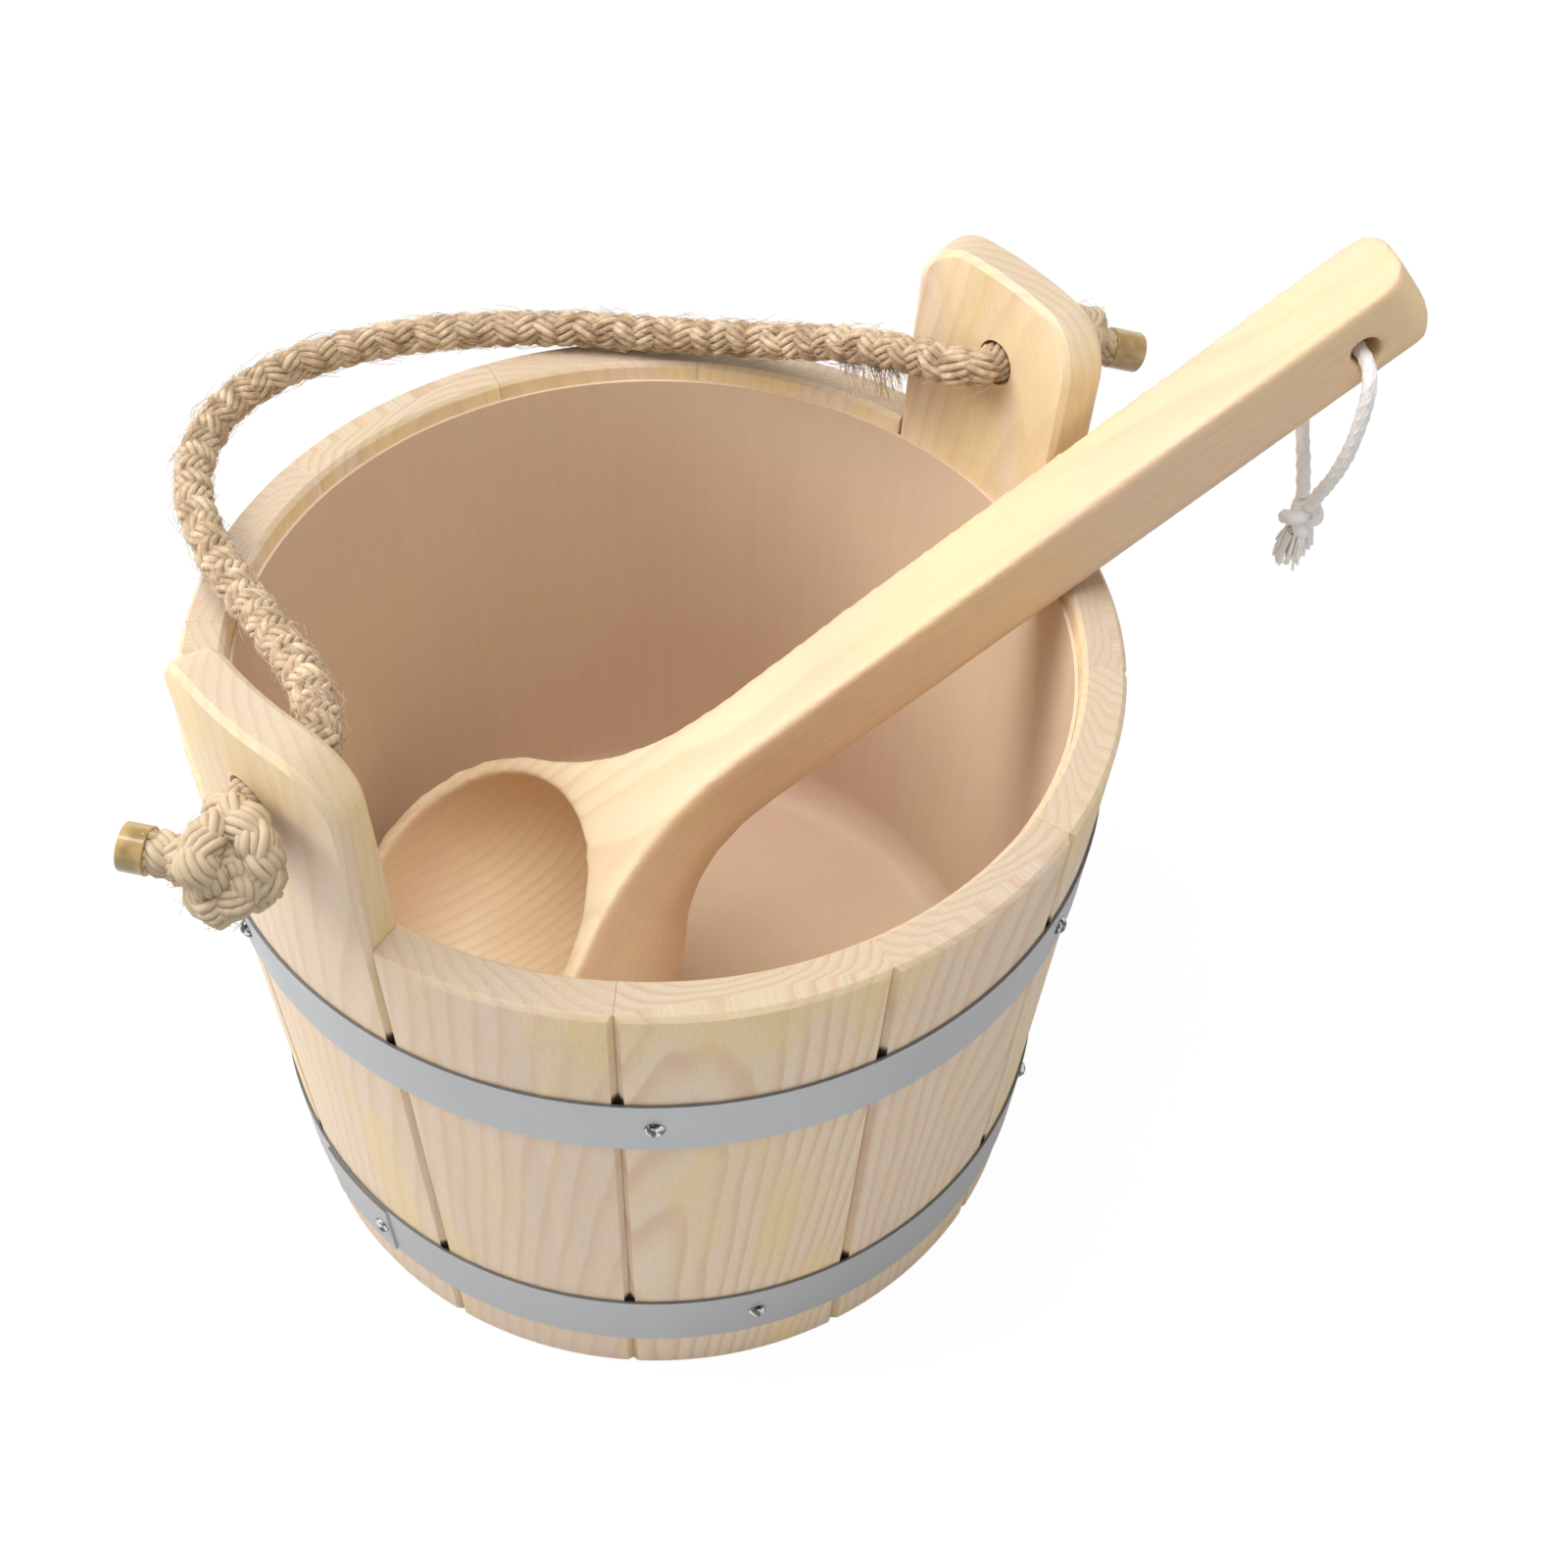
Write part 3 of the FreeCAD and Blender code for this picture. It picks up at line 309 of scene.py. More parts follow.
def wood_finish(name, pale, ring, warm, ring_gap, ring_depth=0.55, roughness=0.55):
    """Softwood: growth rings round the tree's heart, fine fibres and warm patches.

    The attribute "grain" gives each point's place in the tree in millimetres: two numbers across from
    the heart and one along the fibres. "figure" is the strength of the rings, "groove" is 1 in the
    joints between two staves, where shade is painted, and "cut" is 1 where the wood is cut across its
    fibres. "light" is 1 where the wood is paler: a stave's own tone, and painted light on the ladle's
    top near the bowl."""
    wood = Finish(name)
    grain = wood.attribute("grain", "Vector")
    cut = wood.attribute("cut")
    height = wood.height(wood.place())

    # Rings and fibres.
    late = growth_rings(wood, grain, ring_gap)
    fibre = wood.streaks(grain, 2.6, 0.06, 4.0, 0.6)
    hair = wood.streaks(grain, 7.0, 0.12, 2.0, 0.6)
    strength = late * (0.4 + fibre * 0.8) * wood.attribute("figure") * ring_depth
    # Paler wood: a stave's own tone, and painted light on the ladle's top near the bowl.
    early = wood.mix(wood.attribute("light") * 0.7, pale, PALE_TONE_AND_PAINTED_LIGHT)
    colour = wood.mix(strength, early, ring)

    # Warm patches, stronger near the rim and weaker on cut wood.
    patch = wood.streaks(grain, 0.05, 0.014, 3.0)
    blotch = wood.streaks(grain, 0.16, 0.08, 2.0)
    near_rim = wood.ramp(height, RIM_HEIGHT - WARM_BAND, RIM_HEIGHT)
    yellow = wood.ramp(patch + near_rim * 0.16, 0.5, 0.72) * 0.65
    yellow = yellow + wood.ramp(blotch, 0.62, 0.74) * 0.4
    colour = wood.mix(yellow * (1.0 - cut * 0.75), colour, warm)
    colour = wood.shade(colour, 0.77 + fibre * 0.26 + hair * 0.2)

    # Cut wood is darker, with open pores.
    pores = wood.noise(grain, 2.0, 3.0, 0.75)
    open_end = wood.shade(colour, 0.46 + pores * 0.36)
    colour = wood.mix(cut * 0.85, colour, open_end)

    # Painted shade in the joints up to the rim, and a painted shadow in them just above each hoop.
    painted_shade = wood.attribute("painted_shade") * (1.0 - wood.ramp(height, *JOINT_FADES))
    colour = wood.mix(painted_shade * 0.2, colour, JOINT_SHADE)
    colour = wood.mix(painted_shade * hoop_pockets(wood, height) * 0.95, colour, POCKET_SHADOW)

    relief = fibre * 0.6 + hair * 0.4 - late * 0.25
    return wood.set(
        Base_Color=colour,
        Roughness=roughness + (fibre - 0.5) * 0.18,
        Normal=wood.bump(relief, 0.35, 0.12 * MM),
    )


def steel_finish():
    """Satin strip, with painted shade on its flat top and bottom edges."""
    steel = Finish("hoop_steel")
    place = steel.place()
    streak = steel.streaks(place, 60.0, 2600.0, 3.0)
    cloud = steel.noise(place, 40.0, 2.0)
    colour = steel.shade(srgb(188, 190, 193), 0.9 + cloud * 0.14 + streak * 0.06)
    # Painted shadow line along the strip's top and bottom edges.
    colour = steel.mix(steel.attribute("painted_shade") * 0.7, colour, srgb(76, 72, 68))
    return steel.set(
        Base_Color=colour,
        Metallic=0.6,
        Roughness=0.36 + streak * 0.1,
        Normal=steel.bump(streak, 0.12, 0.05 * MM),
    )


def nail_finish():
    """Bright heads with painted dark reflections in spots, and fine scratches."""
    nail = Finish("nail_steel")
    place = nail.place()
    scratch = nail.noise(place, 900.0, 2.0)
    # Painted dark reflection in random spots of the heads.
    dark_reflection = nail.ramp(nail.noise(place, 620.0, 1.0), 0.42, 0.58)
    return nail.set(
        Base_Color=nail.mix(dark_reflection, srgb(226, 228, 230), srgb(104, 104, 106)),
        Metallic=1.0,
        Roughness=0.1 + scratch * 0.1,
    )


def liner_finish():
    """Thin plastic, seen through and slightly wavy."""
    liner = Finish("liner_plastic")
    place = liner.place()
    streak = liner.streaks(place, 420.0, 9.0, 3.0)
    cloud = liner.noise(place, 9.0, 3.0)
    tan = liner.mix(liner.ramp(cloud, 0.35, 0.7), srgb(246, 223, 194), srgb(244, 215, 190))
    return liner.set(
        Base_Color=liner.shade(tan, 0.93 + streak * 0.1),
        Roughness=0.33 + cloud * 0.08,
        Alpha=0.72,
        Normal=liner.bump(cloud, 0.2, 1.2 * MM),
    )


def jute_finish():
    """Dry jute, with painted shade deep between the strands."""
    jute = Finish("jute_rope")
    place = jute.place()
    clump = jute.noise(place, 210.0, 3.0)
    thread = jute.noise(place, 1500.0, 2.0)
    colour = jute.mix(jute.ramp(clump, 0.3, 0.7), srgb(168, 138, 105), srgb(222, 197, 163))
    # Painted shade deep between the yarns darkens the tone.
    tone = (0.74 + thread * 0.5) * (1.0 - jute.attribute("painted_shade") * 0.55)
    return jute.set(
        Base_Color=jute.shade(colour, tone),
        Roughness=0.85,
        Sheen_Weight=0.25,
        Normal=jute.bump(thread, 0.7, 0.25 * MM),
    )


def tape_finish():
    """Clear tape over brown jute; the cut jute inside the open end is dark, with painted shade in the
    hollow.
    """
    tape = Finish("rope_tape")
    under = tape.noise(tape.place(), 150.0, 2.0)
    colour = tape.mix(tape.ramp(under, 0.3, 0.7), srgb(146, 122, 74), srgb(194, 164, 112))
    # The cut jute's dark end, with painted shade in the hollow.
    colour = tape.mix(tape.attribute("painted_shade") * 0.85, colour, srgb(70, 54, 30))
    return tape.set(
        Base_Color=colour,
        Roughness=0.16 + under * 0.1,
        Coat_Weight=0.8,
        Normal=tape.bump(under, 0.3, 0.5 * MM),
    )


def cotton_finish():
    """White cotton with fine threads."""
    cotton = Finish("cotton_cord")
    thread = cotton.noise(cotton.place(), 1700.0, 2.0)
    return cotton.set(
        Base_Color=cotton.shade(srgb(246, 243, 240), 0.86 + thread * 0.24),
        Roughness=0.8,
        Sheen_Weight=0.3,
        Normal=cotton.bump(thread, 0.4, 0.12 * MM),
    )


# Shaping

MERGE_GAP = 0.004 * MM
FLAT_ANGLE = math.radians(0.4)
# An edge that bends by more than this is eased, and stays sharp in the shading.
SHARP_ANGLE = math.radians(30)


def linked(name, data):
    made = bpy.data.objects.new(name, data)
    bpy.context.scene.collection.objects.link(made)
    return made


def merged_copy(node, name):
    """A copy of a solid's mesh with its corners joined and flat faces whole."""
    mesh = frame["nodes"][node].data.copy()
    work = bmesh.new()
    work.from_mesh(mesh)
    bmesh.ops.remove_doubles(work, verts=work.verts, dist=MERGE_GAP)
    bmesh.ops.dissolve_limit(work, angle_limit=FLAT_ANGLE, verts=work.verts, edges=work.edges)
    work.to_mesh(mesh)
    work.free()
    return linked(name, mesh)


def smooth_faces(piece, sharp_angle):
    piece.data.shade_smooth()
    piece.data.set_sharp_from_angle(angle=sharp_angle)


def ease_edges(piece, width):
    """Rounds a piece's sharp edges, and shades the rest smooth."""
    soft = piece.modifiers.new("edges", "BEVEL")
    soft.width = width
    soft.segments = 2
    soft.limit_method = "ANGLE"
    soft.angle_limit = SHARP_ANGLE
    soft.harden_normals = True
    smooth_faces(piece, SHARP_ANGLE)


def dress(piece, node_names, body, material):
    """Gives a finished piece its material and its body, and hides the solids that it stands for."""
    piece.data.materials.clear()
    piece.data.materials.append(material)
    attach(piece, body)
    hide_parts(*node_names)


def points_of(mesh):
    co = np.zeros(len(mesh.vertices) * 3)
    mesh.vertices.foreach_get("co", co)
    return co.reshape(-1, 3)


def evaluated_mesh(piece):
    """The mesh that a piece's modifiers or its curve make."""
    bpy.context.view_layer.update()
    graph = bpy.context.evaluated_depsgraph_get()
    return bpy.data.meshes.new_from_object(piece.evaluated_get(graph))


def give_grain(mesh, across, deep, along):
    """Stores each point's place in the tree, in millimetres."""
    values = np.stack([across, deep, along], axis=1) / MM
    grain = mesh.attributes.new("grain", "FLOAT_VECTOR", "POINT")
    grain.data.foreach_set("vector", values.astype(np.float32).ravel())


def give_number(mesh, name, value):
    """Stores a number at each point, the same for all or one for each."""
    number = mesh.attributes.new(name, "FLOAT", "POINT")
    values = np.broadcast_to(np.float32(value), len(mesh.vertices))
    number.data.foreach_set("value", np.ascontiguousarray(values))


def mark_faces(mesh, name, measure):
    """Stores a number on each face that follows from its middle and its normal."""
    marked = mesh.attributes.new(name, "FLOAT", "FACE")
    for face in mesh.polygons:
        marked.data[face.index].value = float(measure(face.center, face.normal))


# Lines and threads

# Steps along a line: for a braid, a twist and its core, loose fibres and depths.
BRAID_STEP = 1.3 * MM
TWIST_STEP = 0.5 * MM
TWIST_CORE_STEP = 0.8 * MM
FIBRE_STEP = 1.0 * MM
DEPTH_STEP = 0.8 * MM

# A braid: strands each way, the yarns of a strand and their radius.
BRAID_STRANDS = 4
BRAID_YARNS = 3
JUTE_YARN = 1.12 * MM
# How far a strand dips under another, as a share of the rope's radius; how far apart
# the yarns of a strand lie and how far the middle one stands out, in yarn radii.
BRAID_DIP = 0.17
YARN_SPREAD = 1.45
YARN_CROWN = 0.35
# Steps from one random unevenness to the next.
DRAW_STEPS = 4

# A twist: its strands, the yarns of a strand, their radius and the length of a turn.
TWIST_STRANDS = 3
TWIST_YARNS = 3
COTTON_YARN = 0.56 * MM
TWIST_PITCH = 13 * MM
# A strand's radius and the core's, as shares of the cord's radius; how far out in the
# strand a yarn lies, as a share of the strand's radius; its turns back for each turn.
TWIST_STRAND = 0.46
TWIST_CORE = 0.93
TWIST_YARN_OUT = 0.5
TWIST_BACK = 2.2

# Places along a loose fibre, as shares of its length.
FIBRE_PLACES = (0, 0.25, 0.5, 0.75, 1)
# A loose fibre starts this far out, as a share of the cord's radius.
FIBRE_ROOT = 0.86
# How far a torn fibre's end strays.
TORN_STRAY = 3.5 * MM
# Yarns get painted shade from this share of the cord's radius inwards, over this much of it.
SHADE_FROM = 0.98
SHADE_OVER = 0.3


def new_curve(name, kind, lines):
    """A curve with one spline of a kind for each line."""
    curve = bpy.data.curves.new(name, "CURVE")
    curve.dimensions = "3D"
    for line in lines:
        spline = curve.splines.new(kind)
        spline.points.add(len(line) - 1)
        for spot, point in zip(spline.points, line):
            spot.co = (*point, 1.0)
    return curve


def curve_mesh(name, curve):
    """The mesh of a curve, which is then removed."""
    holder = linked(name, curve)
    mesh = evaluated_mesh(holder)
    bpy.data.objects.remove(holder)
    bpy.data.curves.remove(curve)
    return mesh


def smooth_line(points, name):
    """Places along a cord's own smooth curve, close together."""
    curve = new_curve(name, "NURBS", [points])
    spline = curve.splines[0]
    spline.resolution_u = 16
    spline.order_u = 3
    spline.use_endpoint_u = True
    mesh = curve_mesh(name, curve)
    line = [Vector(p) for p in points_of(mesh)]
    bpy.data.meshes.remove(mesh)
    return line


def thread_mesh(name, lines, radius, roundness=1):
    """One mesh of round threads along several lines."""
    curve = new_curve(name, "POLY", lines)
    curve.bevel_depth = radius
    curve.bevel_resolution = roundness
    curve.use_fill_caps = True
    mesh = curve_mesh(name, curve)
    mesh.name = name
    mesh.shade_smooth()
    return mesh


def thread_piece(name, lines, radius, roundness=1):
    return linked(name, thread_mesh(name, lines, radius, roundness))


def evenly(line, step):
    """The same line with equal steps, and its length."""
    lengths = [0.0]
    for a, b in zip(line, line[1:]):
        lengths.append(lengths[-1] + (b - a).length)
    total = lengths[-1]
    count = max(int(round(total / step)), 2)
    spots = np.linspace(0.0, total, count + 1)
    table = np.array([tuple(p) for p in line])
    even = [np.interp(spots, lengths, table[:, i]) for i in range(3)]
    return [Vector(p) for p in zip(*even)], total


def frames_along(line):
    """Two directions square to the line at each point, without twist."""
    tangents = []
    for i in range(len(line)):
        a = line[max(i - 1, 0)]
        b = line[min(i + 1, len(line) - 1)]
        tangents.append((b - a).normalized())
    side = tangents[0].orthogonal().normalized()
    frames = []
    for before, tangent in zip([tangents[0]] + tangents, tangents):
        side = before.rotation_difference(tangent) @ side
        side = (side - tangent * side.dot(tangent)).normalized()
        frames.append((side, tangent.cross(side)))
    return frames


def braid_lines(line, radius, pitch, unevenness, seed):
    """Yarns of a round braid: half of the strands wind each way, over and under."""
    chance = random.Random(seed)
    even, _ = evenly(line, BRAID_STEP)
    frames = frames_along(even)
    step = (even[1] - even[0]).length
    dip = radius * BRAID_DIP
    middle = radius - dip - JUTE_YARN
    spread = YARN_SPREAD * JUTE_YARN / middle
    lines = []
    for way, strand, yarn in product((-1, 1), range(BRAID_STRANDS), range(BRAID_YARNS)):
        base = math.tau * strand / BRAID_STRANDS
        aside = yarn - (BRAID_YARNS - 1) / 2
        crown = JUTE_YARN * YARN_CROWN * (1 - abs(aside))
        draws = [chance.uniform(-1, 1) for _ in range(len(even) // DRAW_STEPS + 3)]
        path = []
        for i, (point, (side, top)) in enumerate(zip(even, frames)):
            turn = math.tau * i * step / pitch
            angle = way * turn + base + aside * spread
            draw, part = divmod(i, DRAW_STEPS)
            loose = draws[draw] + (draws[draw + 1] - draws[draw]) * part / DRAW_STEPS
            out = middle + crown + way * dip * math.cos(BRAID_STRANDS * turn)
            out += loose * unevenness
            path.append(point + (side * math.cos(angle) + top * math.sin(angle)) * out)
        lines.append(path)
    return lines


def twist_lines(line, radius):
    """Yarns of a twisted cord: each strand winds round the cord, its yarns round it."""
    even, _ = evenly(line, TWIST_STEP)
    frames = frames_along(even)
    step = (even[1] - even[0]).length
    strand_radius = radius * TWIST_STRAND
    strand_out = radius - strand_radius
    yarn_out = strand_radius * TWIST_YARN_OUT
    lines = []
    for strand, yarn in product(range(TWIST_STRANDS), range(TWIST_YARNS)):
        path = []
        for i, (point, (side, top)) in enumerate(zip(even, frames)):
            turn = math.tau * i * step / TWIST_PITCH
            angle = turn + math.tau * strand / TWIST_STRANDS
            yarn_angle = -TWIST_BACK * turn + math.tau * yarn / TWIST_YARNS
            out = side * math.cos(angle) + top * math.sin(angle)
            around = top * math.cos(angle) - side * math.sin(angle)
            path.append(
                point
                + out * (strand_out + yarn_out * math.cos(yarn_angle))
                + around * yarn_out * math.sin(yarn_angle)
            )
        lines.append(path)
    return lines


def cotton_cord(name, line, radius):
    """A soft twisted cord whose strands hardly stand off each other."""
    even, _ = evenly(line, TWIST_CORE_STEP)
    core = thread_mesh(name + "_core", [even], radius * TWIST_CORE, roundness=3)
    strands = thread_mesh(name, twist_lines(line, radius), COTTON_YARN)
    work = bmesh.new()
    for mesh in (core, strands):
        work.from_mesh(mesh)
    work.to_mesh(strands)
    work.free()
    bpy.data.meshes.remove(core)
    strands.shade_smooth()
    return linked(name, strands)


def fibre_lines(line, radius, count, length, seed):
    """Loose fibres that stand off a cord."""
    chance = random.Random(seed)
    even, _ = evenly(line, FIBRE_STEP)
    frames = frames_along(even)
    lines = []
    for _ in range(count):
        i = chance.randrange(1, len(even) - 1)
        side, top = frames[i]
        forward = (even[i + 1] - even[i - 1]).normalized() * chance.choice((-1, 1))
        angle = chance.uniform(0, math.tau)
        out = side * math.cos(angle) + top * math.sin(angle)
        across = forward.cross(out)
        reach = length * chance.uniform(0.4, 1.0)
        lift = chance.uniform(0.12, 0.5)
        bend = chance.uniform(-0.5, 0.5)
        start = even[i] + out * radius * FIBRE_ROOT
        path = []
        for t in FIBRE_PLACES:
            path.append(
                start
                + forward * reach * t
                + out * reach * lift * t * (1.15 - 0.6 * t)
                + across * reach * bend * t * t
            )
        lines.append(path)
    return lines


def torn_tuft(first, last, fall, count, seed):
    """Torn fibres that hang in a flat tuft between two places of a cord."""
    chance = random.Random(seed)
    lines = []
    for _ in range(count):
        start = first.lerp(last, chance.random())
        reach = fall * chance.uniform(0.55, 1.0)
        stray = Vector([chance.uniform(-1, 1) for _ in range(3)]) * TORN_STRAY
        lines.append([start + reach * t + stray * t * t for t in FIBRE_PLACES])
    return lines


def trefoil(centre, axis, ring, half, steps, turn):
    """Middle line of a tight knot: three lobes round an axis that cross each other."""
    side = axis.cross(UP).normalized()
    top = side.cross(axis)
    line = []
    for i in range(steps + 1):
        t = math.tau * i / steps
        x = (math.sin(t) + 2 * math.sin(2 * t)) / 3
        y = (math.cos(t) - 2 * math.cos(2 * t)) / 3
        a = math.cos(turn) * x - math.sin(turn) * y
        b = math.sin(turn) * x + math.cos(turn) * y
        line.append(centre + (side * a + top * b) * ring - axis * half * math.sin(3 * t))
    return line


def mark_depth(mesh, lines, radius):
    """Stores in "groove", for painted shade, how deep each point lies between the yarns of a cord."""
    middles = [point for line in lines for point in evenly(line, DEPTH_STEP)[0]]
    tree = KDTree(len(middles))
    for i, point in enumerate(middles):
        tree.insert(point, i)
    tree.balance()
    away = np.array([tree.find(Vector(p))[2] for p in points_of(mesh)]) / radius
    give_number(mesh, "painted_shade", np.clip((SHADE_FROM - away) / SHADE_OVER, 0, 1))


# Sizes and colours

class BucketSizes(bpy.types.PropertyGroup):
    """Sizes and colours of the bucket that a user may change."""

    edge: bpy.props.FloatProperty(
        name="Eased edge",
        description="Rounding of the staves' edges",
        default=0.5 * MM,
        unit="LENGTH",
    )
    ring_gap: bpy.props.FloatProperty(
        name="Growth ring",
        description="Distance between two growth rings of the staves, in millimetres",
        default=3.1,
    )
    wood: bpy.props.FloatVectorProperty(
        name="Stave wood",
        description="Pale wood between the rings",
        default=srgb(233, 210, 185),
        subtype="COLOR",
    )
    ladle_wood: bpy.props.FloatVectorProperty(
        name="Ladle wood",
        description="Pale wood of the ladle",
        default=srgb(229, 198, 164),
        subtype="COLOR",
    )


class RopeSizes(bpy.types.PropertyGroup):
    """Sizes of the rope and the cotton loop."""

    diameter: bpy.props.FloatProperty(
        name="Rope diameter",
        description="Thickness of the jute rope",
        default=10.5 * MM,
        unit="LENGTH",
    )
    pitch: bpy.props.FloatProperty(
        name="Braid pitch",
        description="Length in which a strand goes once round the rope",
        default=47.0 * MM,
        unit="LENGTH",
    )
    cotton: bpy.props.FloatProperty(
        name="Cotton diameter",
        description="Thickness of the loop's cord",
        default=4.0 * MM,
        unit="LENGTH",
    )


# Staves

STAVES = [f"stave_{i:02d}" for i in range(1, 11)] + ["ear_stave_left", "ear_stave_right"]
# Where the tree's heart lies from the middle of each stave's wood: across and deep in
# millimetres, and how far the stave leans across and deep along its fibres.
HEARTS = {
    "stave_01": (60.0, -70.0, 0.02, 0.03),
    "stave_02": (-34.0, -24.0, -0.15, 0.03),
    "stave_03": (30.0, -22.0, 0.04, 0.06),
    "stave_04": (-60.0, -50.0, 0.0, 0.02),
    "stave_05": (20.0, -60.0, 0.02, 0.02),
    "stave_06": (-40.0, -30.0, 0.02, 0.04),
    "stave_07": (50.0, -60.0, 0.0, 0.03),
    "stave_08": (-8.0, -30.0, 0.02, 0.05),
    "stave_09": (35.0, -50.0, 0.0, 0.02),
    "stave_10": (-50.0, -40.0, 0.03, 0.02),
    "ear_stave_left": (45.0, -55.0, 0.02, 0.02),
    "ear_stave_right": (-25.0, -75.0, 0.01, 0.02),
}
# Strength of the rings, and how pale the wood is from one stave to the next.
PLAIN_FIGURE = 0.6
FIGURES = {"stave_02": 1.0, "stave_03": 0.8, "stave_08": 0.9, "ear_stave_right": 0.7}
PALENESS = (0.0, 0.25, 0.1, 0.35)
# Each stave comes from another place along the tree.
NEXT_STAVE = 900 * MM


def give_stave_grain(mesh, name, number):
    """Lays the grain of one stave, bent flat, beside its tree's heart."""
    at = points_of(mesh)
    middle = math.atan2(at[:, 1].mean(), at[:, 0].mean())
    radius = np.hypot(at[:, 0], at[:, 1])
    angle = (np.arctan2(at[:, 1], at[:, 0]) - middle + math.pi) % math.tau - math.pi
    mean_radius = radius.mean()
    across, deep, lean_across, lean_deep = HEARTS[name]
    give_grain(
        mesh,
        angle * mean_radius - across * MM + at[:, 2] * lean_across,
        radius - mean_radius - deep * MM + at[:, 2] * lean_deep,
        at[:, 2] + number * NEXT_STAVE,
    )


def in_joint(spot, normal):
    """Whether a face is one of the slanted ones along a joint's outer edge."""
    out = Vector((spot.x, spot.y, 0)).normalized()
    aside = abs(normal.dot(UP.cross(out)))
    return 0.35 < aside < 0.93 and normal.dot(out) > 0.3 and abs(normal.z) < 0.3


def build_staves(sizes):
    material = wood_finish(
        "stave_wood",
        pale=tuple(sizes.wood),
        ring=srgb(212, 164, 124),
        warm=srgb(238, 211, 152),
        ring_gap=sizes.ring_gap,
    )
    for number, name in enumerate(STAVES):
        piece = merged_copy(name, name + "_wood")
        give_stave_grain(piece.data, name, number)
        give_number(piece.data, "figure", FIGURES.get(name, PLAIN_FIGURE))
        give_number(piece.data, "light", PALENESS[number % len(PALENESS)])
        # The joints' slanted faces get painted shade.
        mark_faces(piece.data, "painted_shade", in_joint)
        mark_faces(piece.data, "cut", lambda spot, normal: max(normal.z, 0.0) ** 2)
        ease_edges(piece, sizes.edge)
        dress(piece, [name], "bucket", material)


# Bottom board, liner and hoops

BOARD_HEART = Vector((-30, 0, -50)) * MM
BOARD_FIGURE = 0.8
BOARD_RING_GAP = 3.4
BOARD_SHARP = math.radians(35)
# For turned shapes, such as the liner and the nails' heads.
TURNED_SHARP = math.radians(50)
HOOP_EDGE = 0.12 * MM


def build_board():
    board = merged_copy("bottom_board", "bottom_board_wood")
    at = points_of(board.data)
    give_grain(board.data, at[:, 0] - BOARD_HEART.x, at[:, 2] - BOARD_HEART.z, at[:, 1])
    give_number(board.data, "figure", BOARD_FIGURE)
    smooth_faces(board, BOARD_SHARP)
    material = wood_finish(
        "board_wood",
        pale=srgb(232, 206, 176),
        ring=srgb(200, 154, 112),
        warm=srgb(232, 204, 154),
        ring_gap=BOARD_RING_GAP,
    )
    dress(board, ["bottom_board"], "bucket", material)


def build_liner():
    liner = merged_copy("liner", "liner_tub")
    smooth_faces(liner, TURNED_SHARP)
    dress(liner, ["liner"], "bucket", liner_finish())


def build_hoops():
    steel = steel_finish()
    bright = nail_finish()
    for hoop in ("upper_hoop", "lower_hoop"):
        strip = merged_copy(hoop, hoop + "_strip")
        # The strip's flat top and bottom edges get painted shade.
        mark_faces(strip.data, "painted_shade", lambda spot, normal: abs(normal.z) > 0.75)
        ease_edges(strip, HOOP_EDGE)
        dress(strip, [hoop], "bucket", steel)
        for node in (hoop + "_nails", hoop + "_lap_rivet"):
            heads = merged_copy(node, node + "_heads")
            smooth_faces(heads, TURNED_SHARP)
            dress(heads, [node], "bucket", bright)


# Ladle

BOWL_RADIUS = 58.7 * MM
# How far the bowl's tip is drawn in, as a share of its radius.
TIP_SHARE = 48.5 / 58.7
# The bowl's outer wall, as far in as its rim, and the neck get the second smoothing.
WALL_INSIDE = 7 * MM
WALL_BLEND = 4 * MM
NECK_END = 150 * MM
NECK_BLEND = 40 * MM
# Grid of the even mesh, passes of both smoothings, and levels of the second's share.
EVEN_GRID = 1.05 * MM
FIRST_SMOOTHING = 12
SECOND_SMOOTHING = 34
SHARE_LEVELS = 8
# The ladle's grain: its tree's heart beside and below it, the lean of its fibres, and
# how far up the tree it comes from.
LADLE_HEART_ASIDE = 22 * MM
LADLE_HEART_BELOW = 60 * MM
LADLE_LEAN = 0.03
LADLE_SHIFT = 3000 * MM
LADLE_RING_GAP = 3.7
# Up to here from the bowl centre the top gets painted light, and this far on it no longer does.
PAINTED_LIGHT_REACH = 60 * MM
PAINTED_LIGHT_FADE = 80 * MM


def on_ladle(at):
    """Each point's place along, across and up from the ladle's bowl centre."""
    local = at - np.array(LADLE_CENTRE)
    return local @ np.array(ALONG), local @ np.array(ACROSS), local @ np.array(NORMAL)


def outer_share(at):
    """How much of the second smoothing each point of the ladle gets: the bowl's outer
    wall and the neck get all of it, the hollow's edge and the handle none."""
    along, across, _ = on_ladle(at)
    stretch = np.where(along < 0, TIP_SHARE, 1.0)
    reach = np.hypot(along / stretch, across)
    on_wall = np.clip((reach - BOWL_RADIUS + WALL_INSIDE) / WALL_BLEND, 0, 1)
    return on_wall * np.clip((NECK_END - along) / NECK_BLEND, 0, 1)


def bake_modifiers(piece):
    """Turns a piece's modifiers into its mesh, and returns that mesh."""
    mesh = evaluated_mesh(piece)
    piece.modifiers.clear()
    piece.data = mesh
    return mesh


def smoothed(piece, passes, group=""):
    """A piece's mesh after some passes of smoothing, by the weights of a group."""
    soft = piece.modifiers.new("soft", "SMOOTH")
    soft.factor = 0.5
    soft.iterations = passes
    soft.vertex_group = group
    return bake_modifiers(piece)


def weigh_outer_wall(piece, mesh):
    """Stores the second smoothing's share in a vertex group, in a few levels."""
    levels = np.round(outer_share(points_of(mesh)) * SHARE_LEVELS)
    group = piece.vertex_groups.new(name="outer")
    for level in range(1, SHARE_LEVELS + 1):
        chosen = np.flatnonzero(levels == level).tolist()
        group.add(chosen, level / SHARE_LEVELS, "REPLACE")
    return group.name


